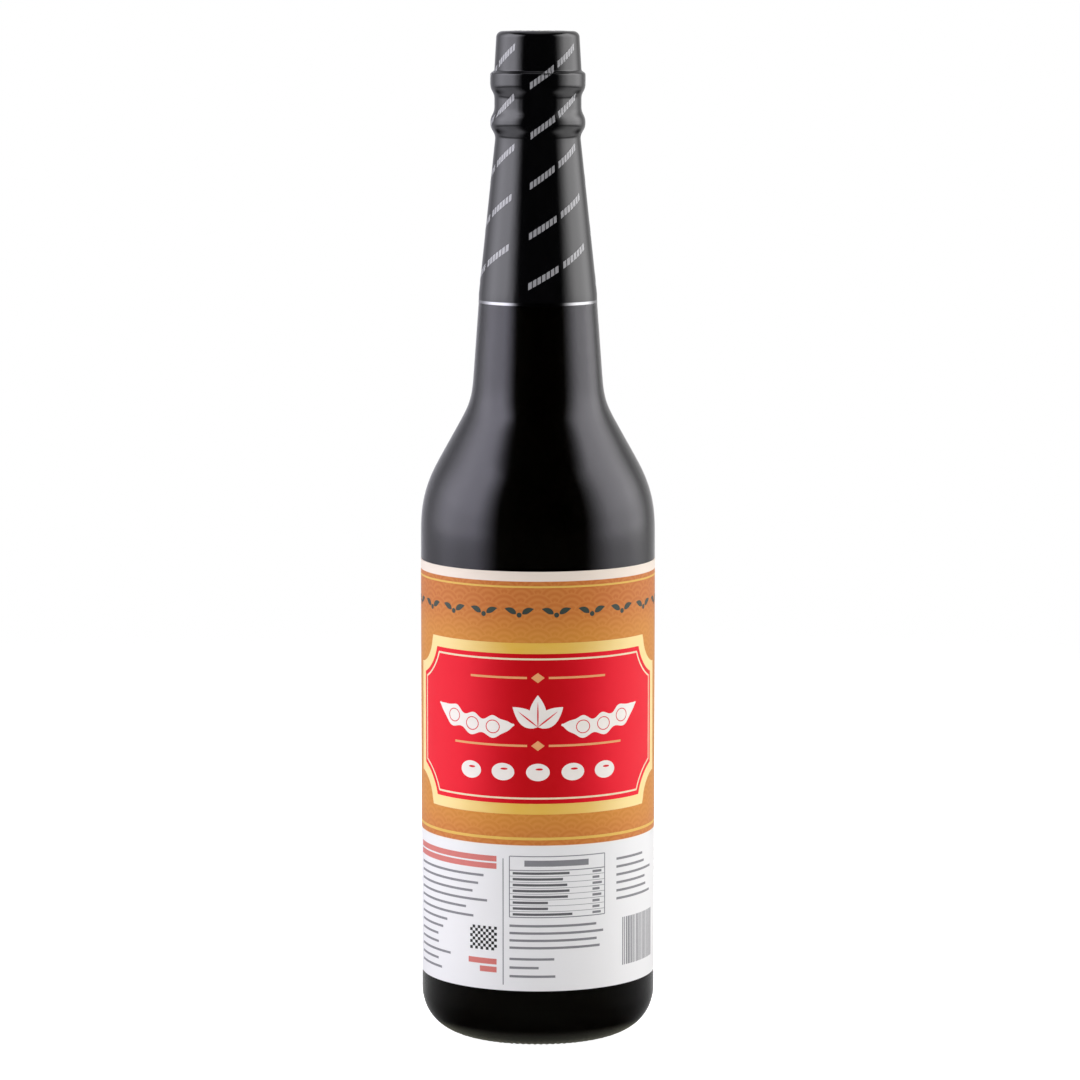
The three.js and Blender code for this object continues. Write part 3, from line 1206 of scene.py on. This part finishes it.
def printed(name, drawing, colour, layer=1, count=1, start=(0, 0), step=(0, 0), lengths=(1, 1), seed=0):
    """Rolls a drawing onto the paper, once or in a row, as one layer of ink."""
    piece = new_piece(name, drawing.points, drawing.faces)
    values = {"Count": count, "Seed": seed, "Lap Start": LAP_START, "Material": colour}
    values.update({"Shortest": float(lengths[0]), "Longest": float(lengths[1])})
    sizes = {"Start": (start[0], 0, start[1]), "Step": (step[0], 0, step[1])}
    sizes.update({"Radius": LABEL_RADIUS + INK * layer, "Lap Lift": LAP_LIFT})
    add_tree(piece, ROLLED, values, sizes)
    thicken(piece, INK_DEPTH)
    return join_body(settle(piece, PRINT_BEND), "label_paper")


# %% [markdown]
# ## Inks
# A printed colour varies a little, because ink is thinner in some places. The plaque's red is deeper
# towards its middle, and the gold of its border deepens towards the middle of its long sides. Both are
# painted shade in the middle and painted light towards the sides, where the side lights fall, so these
# two finishes also read the distance round the body.

# %% Inks
INK_LUMP, INK_DETAIL = 2.2, 3.0
GOLD_SHADE_REACH, RED_SHADE_REACH = (4.0, 34.0), (2.0, 26.0)


def ink(name, colour, shade=0.86):
    """A printed colour that varies a little, as ink on paper does."""
    thin = tuple(value * shade for value in colour[:3]) + (1.0,)
    sheen = {"Specular IOR Level": 0.25}
    return speckled(name, (thin, colour), INK_LUMP, (0.36, 0.08), INK_DETAIL, constants=sheen)


def gold_border():
    material, tree = new_finish("gold_border")
    u, _ = label_place(tree)
    streak = noise(tree, size=10, stretch=(1, 1, 3))
    # Painted shade and light: the gold is deeper in the middle and paler towards the sides, with streaks
    # that are the ink's own.
    middle = 1 - u.math("ABSOLUTE").rise(*GOLD_SHADE_REACH)
    gold = mix(tree, middle * 0.75 + streak * 0.25, linear(250, 226, 160), linear(226, 178, 58))
    sockets = {"Base Color": gold, "Roughness": streak * 0.1 + 0.3, "Specular IOR Level": 0.3}
    return finish(material, sockets)


def red_field():
    material, tree = new_finish("red_field")
    u, _ = label_place(tree)
    dense = noise(tree, INK_LUMP, INK_DETAIL)
    # Painted shade and light: the red is deeper in the middle and brighter towards the sides, with a little
    # of the ink's own unevenness.
    side = u.math("ABSOLUTE").rise(*RED_SHADE_REACH)
    red = mix(tree, side * 0.9 + dense * 0.1, linear(192, 2, 14), linear(236, 24, 46))
    sockets = {"Base Color": red, "Roughness": dense * 0.08 + 0.36, "Specular IOR Level": 0.14}
    return finish(material, sockets)


RED_INK = ink("red_ink", linear(224, 18, 36), 0.92)
CREAM_INK = ink("cream_ink", linear(246, 226, 190))
WHITE_INK = ink("white_ink", linear(244, 238, 230), 0.95)
GOLD_INK = ink("gold_ink", linear(232, 190, 92))
APRICOT_INK = ink("apricot_ink", linear(240, 170, 112))
GREEN_INK = ink("dark_green_ink", linear(62, 74, 66))
GREY_INK = ink("grey_ink", linear(138, 138, 141))
PALE_RED_INK = ink("pale_red_ink", linear(216, 124, 116))
DARK_INK = ink("dark_grey_ink", linear(48, 48, 46))
WORD_INK = ink("word_ink", linear(104, 104, 106))

# %% [markdown]
# ## Plaque
# The front of the label holds a red plaque with scooped corners, a cream and gold border and a fine inner
# line. Each outline is the same shape moved inwards: the sides move in, and the corner scoops grow.
# Columns stand closer together in the scoops, where the edge is steep.

# %% The plaque's outlines
BORDER = 3.2
PINSTRIPE_IN, PINSTRIPE = 4.5, 0.55
SCOOP_STEPS, MIDDLE_STEPS, END_STEPS = 18, 60, 6


def plaque_half_height(inset):
    """The height of the plaque's edge above its middle, at a distance from the centre."""
    scoop = SCOOP + inset

    def height(u):
        aside = PLAQUE_WIDTH / 2 - abs(u)
        flat = PLAQUE_HEIGHT / 2 - inset
        if aside >= scoop:
            return flat
        return min(flat, PLAQUE_HEIGHT / 2 - math.sqrt(max(scoop**2 - aside**2, 0)))

    return height


def plaque_columns(inset):
    """Places across the plaque, from one end of its outline to the other."""
    scoop = SCOOP + inset
    turns = np.linspace(math.asin(inset / scoop), math.acos(inset / scoop), SCOOP_STEPS)
    corner = [PLAQUE_WIDTH / 2 - scoop * math.cos(a) for a in turns]
    middle = np.linspace(-corner[0], corner[0], MIDDLE_STEPS)
    return [-u for u in corner[:0:-1]] + list(middle) + corner[1:]


def plaque_area(drawing, across, inset):
    """The plaque inside one outline, over some columns."""
    edge = plaque_half_height(inset)
    drawing.column_field(across, lambda u: PLAQUE_Z - edge(u), lambda u: PLAQUE_Z + edge(u))


def plaque_band(outer, inner):
    """The band between two outlines of the plaque: top, bottom and the two ends."""
    band = Drawing()
    high, low = plaque_half_height(outer), plaque_half_height(inner)
    across = plaque_columns(inner)
    band.column_field(across, lambda u: PLAQUE_Z + low(u), lambda u: PLAQUE_Z + high(u))
    band.column_field(across, lambda u: PLAQUE_Z - high(u), lambda u: PLAQUE_Z - low(u))
    ends = np.linspace(across[-1], PLAQUE_WIDTH / 2 - outer, END_STEPS)
    for sign in (1, -1):
        plaque_area(band, sorted(sign * u for u in ends), outer)
    return band


print("the plaque has", len(plaque_columns(BORDER)), "columns inside its border")

# %% [markdown]
# ## The plaque's three inks
# The red field and the gold border lie side by side on the paper. The fine line lies on the red, so it is
# one layer higher.

# %% Plaque
field = Drawing()
plaque_area(field, plaque_columns(BORDER), BORDER)
printed("plaque_field", field, red_field())
printed("plaque_border", plaque_band(0, BORDER), gold_border())
printed("plaque_pinstripe", plaque_band(PINSTRIPE_IN, PINSTRIPE_IN + PINSTRIPE), CREAM_INK, layer=2)

# %% [markdown]
# ## Pods and leaves
# The plaque's picture is a plain one of what the sauce is made from: two pods beside a three-part leaf. A
# pod is a ribbon along a path that sags a little, and its width swells over each bean. The other pod is
# its mirror image.

# %% Pods and leaves
POD_INNER, POD_OUTER, POD_LOW, POD_RISE, POD_SAG = 7.0, 34.0, 98.6, 4.6, 2.6
POD_HALF, POD_THIN, POD_STALK, POD_TIP, POD_STEPS = 3.4, 0.25, 0.14, 0.16, 49
POD_SWELL, POD_BEANS, BEANS_FROM, BEANS_SPAN = (0.78, 0.22), 3, 0.12, 0.76
POD_BEAN = (2.1, 1.9, 0.26)
LEAF_Z, LEAF_LENGTH, LEAF_HALF, VEIN_SHARE, VEIN_HALF = 98.0, 9.5, 2.5, 0.8, 0.22
LEAF_TURNS = (90, 38, 142)


def pod_point(share, sign):
    """A place along a pod, from its stalk to its tip."""
    u = POD_INNER + (POD_OUTER - POD_INNER) * share
    return sign * u, POD_LOW + POD_RISE * share - POD_SAG * 4 * share * (1 - share)


def pod_width(share):
    """Thin at the stalk and the tip, and swollen over each bean."""
    wave = math.cos(math.tau * (POD_BEANS * (share - BEANS_FROM) / BEANS_SPAN))
    swell = POD_SWELL[0] - POD_SWELL[1] * wave
    taper = ease(share / POD_STALK) * ease((1 - share) / POD_TIP)
    return POD_THIN + (POD_HALF - POD_THIN) * swell * taper


def sprig():
    pods, fine = Drawing(), Drawing()
    for sign in (1, -1):
        path = [pod_point(t, sign) for t in np.linspace(0, 1, POD_STEPS)]
        pods.ribbon(path[::sign], lambda t: pod_width(t if sign > 0 else 1 - t))
        for k in range(POD_BEANS):
            u, z = pod_point(BEANS_FROM + BEANS_SPAN * (k + 0.5) / POD_BEANS, sign)
            fine.loop(u, z, *POD_BEAN)
    for degrees in LEAF_TURNS:
        pods.leaf(0, LEAF_Z, LEAF_LENGTH, degrees, LEAF_HALF)
        fine.leaf(0, LEAF_Z, LEAF_LENGTH * VEIN_SHARE, degrees, VEIN_HALF)
    printed("soybean_sprig", pods, WHITE_INK, layer=2)
    printed("sprig_lines", fine, RED_INK, layer=3)


sprig()

# %% [markdown]
# ## Beans and rules
# A row of beans lies below the pods, and fine rules with a small diamond stand above and between. The
# beans repeat, so one bean and a count are enough.

# %% Beans and rules
BEAN_Z, BEAN_STEP, BEANS = 84.5, 10.5, 5
RULES = ((112.6, 21), (92.4, 27))
RULE_GAP, RULE_HALF, RULE_STEPS = 3.2, 0.32, 24
DIAMOND_WIDE, DIAMOND_HIGH, DIAMOND_STEPS, DIAMOND_LANES = 2, 1.5, 9, 4


def bean_row():
    bean, eye = Drawing(), Drawing()
    bean.bean(eye, 0, 0)
    row = {"count": BEANS, "start": (-BEAN_STEP * (BEANS - 1) / 2, BEAN_Z), "step": (BEAN_STEP, 0)}
    printed("bean_row", bean, WHITE_INK, layer=2, **row)
    printed("bean_eyes", eye, RED_INK, layer=3, **row)


def fine_rules():
    rules = Drawing()
    for z, reach in RULES:
        for sign in (1, -1):
            left, right = sorted((sign * RULE_GAP, sign * reach))
            rules.level_line(left, right, z, RULE_HALF, RULE_STEPS)
        path = [(u, z) for u in np.linspace(-DIAMOND_WIDE, DIAMOND_WIDE, DIAMOND_STEPS)]
        rules.ribbon(path, lambda t: DIAMOND_HIGH * (1 - abs(2 * t - 1)), DIAMOND_LANES)
    printed("plaque_rules", rules, APRICOT_INK, layer=2)


bean_row()
fine_rules()

# %% [markdown]
# ## Garland and edge lines
# Small dark leaves in pairs go round the top of the orange field, and a thin gold line runs along each of
# its edges. The pairs repeat, so one drawing and a count are enough. Where the sheet was cut, a narrow
# unprinted edge shows on top of the lap.

# %% Garland, lines and the bare end
GARLAND_Z, GARLAND_COUNT = 131.5, 20
PAIR_GAP, PAIR_LENGTH, PAIR_TURN, PAIR_HALF, PAIR_BEND = 0.9, 3.8, 24, 0.85, 0.3
BERRY_Z, BERRY = -0.3, 0.75
BARE_END = 0.7
AROUND = math.tau * LABEL_RADIUS
SHEET_END = LAP_END * LABEL_RADIUS
EDGE_LINES, EDGE_STEPS = ((STRIP_FOOT - 1.6, 0.28), (PANEL_TOP + 2.0, 0.4)), 240


def garland():
    pair = Drawing()
    pair.leaf(PAIR_GAP, 0, PAIR_LENGTH, PAIR_TURN, PAIR_HALF, PAIR_BEND)
    pair.leaf(-PAIR_GAP, 0, PAIR_LENGTH, 180 - PAIR_TURN, PAIR_HALF, -PAIR_BEND)
    pair.spot(0, BERRY_Z, BERRY, BERRY)
    step = AROUND / GARLAND_COUNT
    row = {"count": GARLAND_COUNT, "start": (-AROUND / 2 + step / 2, GARLAND_Z), "step": (step, 0)}
    printed("leaf_garland", pair, GREEN_INK, **row)


def edge_lines():
    lines = Drawing()
    last = SHEET_END - BARE_END
    for z, half in EDGE_LINES:
        lines.level_line(-last, last, z, half, EDGE_STEPS)
    printed("edge_lines", lines, GOLD_INK)


def bare_end():
    strip = Drawing()
    strip.bar(SHEET_END - BARE_END, SHEET_END, PANEL_TOP, LABEL_HEAD)
    printed("bare_paper_end", strip, WHITE_INK)


garland()
edge_lines()
bare_end()

# %% [markdown]
# ## Medallions
# Between the plaque and the lap, each side of the label has a round medallion in the plaque's own
# colours: a red disc with a gold rim, and three beans under a pair of leaves. Both are one drawing,
# repeated once by the tree.

# %% Medallions
MEDAL_U, MEDAL_RADIUS = 80.0, 14.0
MEDAL_RIM, MEDAL_LINE, MEDAL_LANES = 1.4, 0.4, 16
MEDAL_BEANS = ((-4.2, -2.0), (4.2, -2.0), (0, -6.0))
MEDAL_LEAF_Z, MEDAL_LEAF, MEDAL_LEAF_HALF, MEDAL_VEIN_HALF = 1.0, 9.0, 2.3, 0.2


def medallions():
    row = {"count": 2, "start": (-MEDAL_U, PLAQUE_Z), "step": (2 * MEDAL_U, 0)}
    disc, rim, beans, eyes = Drawing(), Drawing(), Drawing(), Drawing()
    disc.spot(0, 0, MEDAL_RADIUS, MEDAL_RADIUS, MEDAL_LANES)
    for radius, width in ((MEDAL_RADIUS, MEDAL_RIM), (MEDAL_RADIUS - 2 * MEDAL_RIM, MEDAL_LINE)):
        rim.loop(0, 0, radius, radius, width)
    for u, z in MEDAL_BEANS:
        beans.bean(eyes, u, z)
    for degrees in (40, 140):
        beans.leaf(0, MEDAL_LEAF_Z, MEDAL_LEAF, degrees, MEDAL_LEAF_HALF)
        eyes.leaf(0, MEDAL_LEAF_Z, MEDAL_LEAF * VEIN_SHARE, degrees, MEDAL_VEIN_HALF)
    printed("medallion_discs", disc, RED_INK, **row)
    printed("medallion_rims", rim, GOLD_INK, layer=2, **row)
    printed("medallion_beans", beans, WHITE_INK, layer=2, **row)
    printed("medallion_eyes", eyes, RED_INK, layer=3, **row)


medallions()

# %% [markdown]
# ## Table
# The white panel carries a table and lines of small print. The lines are plain bars of uneven length from
# a seeded draw, which is how small print reads from a step away. The tree stretches one bar of unit
# length, so a block of lines is one call.

# %% Lines of small print, and the table
LINE_HALF, LINE_STEPS = 0.36, 24
TABLE_LEFT, TABLE_RIGHT, TABLE_LOW, TABLE_HIGH = -8.5, 21.0, 41.0, 59.3
TABLE_HEADING, TABLE_ROWS, AMOUNTS_WIDE = 4.2, 8, 4.2
FRAME_HALF, ROW_HALF = 0.14, 0.07
TABLE_TITLE = (-4.0, 15.5, TABLE_HIGH - 3.0, TABLE_HIGH - 1.2)
COLUMN_RULE = (-10.6, -10.3, 20.5, 58.5)
ROWS_TOP = TABLE_HIGH - TABLE_HEADING


def text_block(name, left, top, count, pitch, lengths, seed, colour=GREY_INK):
    """Lines of uneven length, one under the other."""
    stroke = Drawing()
    stroke.column_field(np.linspace(0, 1, LINE_STEPS), lambda u: -LINE_HALF, lambda u: LINE_HALF)
    rows = {"count": count, "start": (left, top), "step": (0, -pitch)}
    printed(name, stroke, colour, lengths=lengths, seed=seed, **rows)


def table():
    frame_lines = Drawing()
    for z in (TABLE_LOW, ROWS_TOP, TABLE_HIGH):
        frame_lines.bar(TABLE_LEFT, TABLE_RIGHT, z - FRAME_HALF, z + FRAME_HALF)
    for z in np.linspace(TABLE_LOW, ROWS_TOP, TABLE_ROWS + 1)[1:-1]:
        frame_lines.bar(TABLE_LEFT, TABLE_RIGHT, z - ROW_HALF, z + ROW_HALF)
    for u in (TABLE_LEFT, TABLE_RIGHT):
        frame_lines.bar(u - FRAME_HALF, u + FRAME_HALF, TABLE_LOW, TABLE_HIGH)
    frame_lines.bar(*COLUMN_RULE)
    frame_lines.bar(*TABLE_TITLE)
    printed("table_frame", frame_lines, GREY_INK)
    pitch = (ROWS_TOP - TABLE_LOW) / TABLE_ROWS
    top = ROWS_TOP - pitch / 2
    text_block("table_words", TABLE_LEFT + 1, top, TABLE_ROWS, pitch, (8, 18), 3, WORD_INK)
    text_block("table_amounts", TABLE_RIGHT - AMOUNTS_WIDE, top, TABLE_ROWS, pitch, (2.2, 3.4), 4)


table()

# %% [markdown]
# ## Small print
# Round the table stand blocks of lines, pale red headings, a small chequered block and a row of upright
# bars. The same tree draws the widths of the bars as it does the lengths of the lines.

# %% Small print round the table
HEADING_RIGHT, HEADING_HIGH = -12.5, 1.7
HEADINGS = ((-49, 55.2), (-49, 57.4), (-22, 26.4), (-18, 24.0))
BARS, BARS_PLACE, BARS_PITCH, BARS_HIGH, BARS_WIDE = 22, (28.0, 24.5), 0.82, 14.5, (0.2, 0.62)
CELLS_ACROSS, CELLS_UP, CELL, CELLS_LEFT, CELLS_LOW = 10, 8, 0.9, -21.4, 30.6


def headings():
    bars = Drawing()
    for left, low in HEADINGS:
        bars.bar(left, HEADING_RIGHT, low, low + HEADING_HIGH)
    printed("panel_headings", bars, PALE_RED_INK)


def upright_bars():
    bar = Drawing()
    bar.column_field((0, 1), lambda u: 0, lambda u: BARS_HIGH)
    row = {"count": BARS, "start": BARS_PLACE, "step": (BARS_PITCH, 0)}
    printed("upright_bars", bar, GREY_INK, lengths=BARS_WIDE, seed=11, **row)


def chequer_block():
    block = Drawing()
    for i in range(CELLS_ACROSS):
        for j in range(i % 2, CELLS_UP, 2):
            left, low = CELLS_LEFT + i * CELL, CELLS_LOW + j * CELL
            block.bar(left, left + CELL, low, low + CELL)
    printed("chequer_block", block, DARK_INK)


text_block("lines_under_table", TABLE_LEFT, 38.4, 4, 2.2, (24, 29), 5)
text_block("lines_under_table_low", TABLE_LEFT, 28.4, 3, 2.6, (8, 15), 12)
text_block("lines_left", -48, 53.0, 6, 2.5, (24, 35), 6)
text_block("lines_left_low", -48, 38.0, 7, 2.5, (12, 19), 7)
text_block("lines_right", 25.5, 57.0, 6, 2.4, (11, 19), 8)
text_block("lines_back_right", 54, 55.0, 12, 2.8, (22, 38), 9)
text_block("lines_back_left", -96, 55.0, 12, 2.8, (26, 38), 10)
headings()
upright_bars()
chequer_block()

# %% [markdown]
# ## Camera
# A long lens from a little above the bottle's top, looking slightly down, gives the photograph's view:
# the lower edges of label and foot bow, and the top of the cap is all but level with the eye.

# %% Camera
LENS, SENSOR, CLIP_START = 150.2, 36.0, 0.01
CAMERA_PLACE = (0.62, -1343.0, 313.5)
LOOK_DOWN = math.radians(6.978)


def photo_camera():
    camera = bpy.data.cameras.new("camera")
    camera.lens = LENS
    camera.sensor_width = SENSOR
    camera.clip_start = CLIP_START
    spot = bpy.data.objects.new("camera", camera)
    spot.location = [value * MM for value in CAMERA_PLACE]
    spot.rotation_euler = (RIGHT_ANGLE - LOOK_DOWN, 0, 0)
    bpy.context.scene.collection.objects.link(spot)
    bpy.context.scene.camera = spot
    print("the camera stands", round(-CAMERA_PLACE[1]), "mm in front, with a lens of", LENS, "mm")


photo_camera()

# %% [markdown]
# ## Light tent
# Glass shows its surroundings more than itself, so the light is planned by direction. Two tall soft boxes
# stand one on each side, a dim pale wall stands behind, and a little light comes from above and off the
# floor. The boxes draw the long grey reflections down the glass, the wall keeps the outline from going
# black, and nothing bright stands in front, so the middle of the glass stays black. Lamps would do, but a
# world that shines by direction gives their edges and fades as plain numbers, in degrees. To the camera
# the world is plain white.

# %% Light tent
LEFT_EDGE, LEFT_FADE, LEFT_LIGHT = (38, 70), (94, 141), 2.95
RIGHT_EDGE, RIGHT_FADE, RIGHT_LIGHT = (46, 86), (108, 142), 2.75
BACK_EDGE, BACK_FOOT, BACK_LIGHT = (108, 140), (-26, -14), 0.55
BOX_FOOT, BOX_HEAD = (-14, -1.5), (40, 52)
BOX_HOT, BOX_GAIN = (0, 16), 0.2
BOUNCE_EDGE, FLOOR_BOUNCE = (-20, -9), 0.42
TOP_EDGE, TOP_LIGHT = (64, 78), 0.35
LEFT_TINT, RIGHT_TINT, TINT_EDGE = (0.92, 0.91, 1.0, 1), (1.0, 0.99, 1.0, 1), (-20, 20)
DEGREE = 180 / math.pi


def seen_by_camera(tree):
    return Wire.node(tree, "ShaderNodeLightPath").out("Is Camera Ray")


def light_tent():
    """Light by direction: degrees round from the front, to the right, and degrees up."""
    world = bpy.data.worlds.new("light_tent")
    world.use_nodes = True
    tree = world.node_tree
    tree.nodes.clear()
    x, y, z = Wire.node(tree, "ShaderNodeTexCoord").out("Generated").parts()
    around = x.math("ARCTAN2", y * -1) * DEGREE
    leftwards = around * -1
    up = z.math("ARCSINE") * DEGREE
    tall = up.rise(*BOX_FOOT) * (1 - up.rise(*BOX_HEAD)) * (up.rise(*BOX_HOT) * BOX_GAIN + 1)
    bounce = (1 - up.rise(*BOUNCE_EDGE)) * FLOOR_BOUNCE
    left = leftwards.rise(*LEFT_EDGE) * (1 - leftwards.rise(*LEFT_FADE)) * LEFT_LIGHT
    right = around.rise(*RIGHT_EDGE) * (1 - around.rise(*RIGHT_FADE)) * RIGHT_LIGHT
    back = around.math("ABSOLUTE").rise(*BACK_EDGE) * up.rise(*BACK_FOOT) * BACK_LIGHT
    light = (left + right) * (tall + bounce) + back + up.rise(*TOP_EDGE) * TOP_LIGHT
    seen = seen_by_camera(tree)
    tint = mix(tree, around.rise(*TINT_EDGE), LEFT_TINT, RIGHT_TINT)
    sky = {"Color": mix(tree, seen, tint, grey(1.0)), "Strength": light * (1 - seen) + seen}
    Wire.node(tree, "ShaderNodeOutputWorld", {"Surface": Wire.node(tree, "ShaderNodeBackground", sky)})
    bpy.context.scene.world = world
    bpy.context.scene.view_settings.view_transform = "Standard"
    print("the tent's left side shines at", LEFT_LIGHT, "and its right side at", RIGHT_LIGHT)


light_tent()

# %% [markdown]
# ## Front fill
# The boxes stand too far round to reach the middle of the label, so a lamp in front of the bottle lights
# it. The lamp is kept out of reflections, as a polarising filter does for a photographer, and the glass
# stays black there.

# %% Front fill
FILL_TURN, FILL_AWAY, FILL_HEIGHT, FILL_SIZE = math.radians(12), 1.6, 0.45, 0.8
FILL_POWER = 6.0


def front_fill():
    lamp = bpy.data.lights.new("front_fill", "AREA")
    lamp.size = FILL_SIZE
    lamp.energy = FILL_POWER
    card = bpy.data.objects.new("front_fill", lamp)
    card.location = (FILL_AWAY * math.sin(FILL_TURN), -FILL_AWAY * math.cos(FILL_TURN), FILL_HEIGHT)
    middle = LABEL_HEAD * MM / 2
    card.rotation_euler = (math.atan2(FILL_AWAY, FILL_HEIGHT - middle), 0, FILL_TURN)
    card.visible_glossy = False
    card.visible_transmission = False
    bpy.context.scene.collection.objects.link(card)
    print("the front fill gives", FILL_POWER, "watts")


front_fill()

# %% [markdown]
# ## Floor
# The floor is white to the camera, as in a cut-out photograph, and fades into the white world at its rim.
# It lights the bottle a little from below, less so close to the foot, and stays out of the glass's
# reflections.

# %% Floor
FLOOR_RADIUS, FLOOR_FADE, DISC_SEGMENTS = 0.9, (0.25, 0.855), 96
FLOOR_GLOW, FOOT_SHADE, SHADE_REACH = 0.35, 0.1, (0.03, 0.14)


def disc(name, radius, z, material):
    """A flat disc that belongs to the studio."""
    shape = bmesh.new()
    bmesh.ops.create_circle(shape, cap_ends=True, radius=radius, segments=DISC_SEGMENTS)
    mesh = bpy.data.meshes.new(name)
    shape.to_mesh(mesh)
    shape.free()
    mesh.materials.append(material)
    piece = bpy.data.objects.new(name, mesh)
    piece.location.z = z
    bpy.context.scene.collection.objects.link(piece)
    print(name, radius, "m in radius")
    return piece


def pale_floor():
    material, tree = new_finish("pale_floor")
    x, y, _ = place_of(tree).parts()
    away = length_of(x, y)
    grain = noise(tree, size=30)
    glow = mix(tree, away.rise(*SHADE_REACH), grey(FOOT_SHADE), grey(FLOOR_GLOW))
    return finish(
        material,
        {
            "Base Color": mix(tree, grain, grey(0.78), grey(0.82)),
            "Roughness": grain * 0.1 + 0.6,
            "Alpha": 1 - away.rise(*FLOOR_FADE),
            "Emission Color": mix(tree, seen_by_camera(tree), glow, grey(1.0)),
            "Emission Strength": 1.0,
        },
    )


floor = disc("floor", FLOOR_RADIUS, 0.0, pale_floor())
floor.visible_glossy = False

# %% [markdown]
# ## Painted foot shade
# With the floor out of its reflections, the heel would mirror the bright tent. A patch under the floor
# takes its place there, painted with shade and light: black in front as painted shade, a painted pale glow
# towards the back, and a dim olive glow under the base, painted light that shows through the glass. The
# floor hides it from the camera.

# %% Painted foot shade
PATCH_RADIUS, PATCH_DEPTH = 0.16, 0.002
PATCH_EDGE, PATCH_GLOW = (50, 160), 0.42
UNDER_EDGE, UNDER_GLOW = (0.03, 0.036), (0.2, 0.2, 0.16, 1)


def painted_foot_shade_finish():
    material, tree = new_finish("foot_patch")
    x, y, _ = place_of(tree).parts()
    around = x.math("ARCTAN2", y * -1).math("ABSOLUTE") * DEGREE
    # Painted shade and light: black in front, a pale glow towards the back, and an olive glow under the
    # base.
    glow = mix(tree, around.rise(*PATCH_EDGE), grey(0.0), grey(PATCH_GLOW))
    under = 1 - length_of(x, y).rise(*UNDER_EDGE)
    return finish(
        material,
        {
            "Base Color": grey(0.0),
            "Roughness": noise(tree, size=30) * 0.1 + 0.9,
            "Specular IOR Level": 0.0,
            "Emission Color": mix(tree, under, glow, UNDER_GLOW),
            "Emission Strength": 1.0,
        },
    )


disc("foot_patch", PATCH_RADIUS, -PATCH_DEPTH, painted_foot_shade_finish())
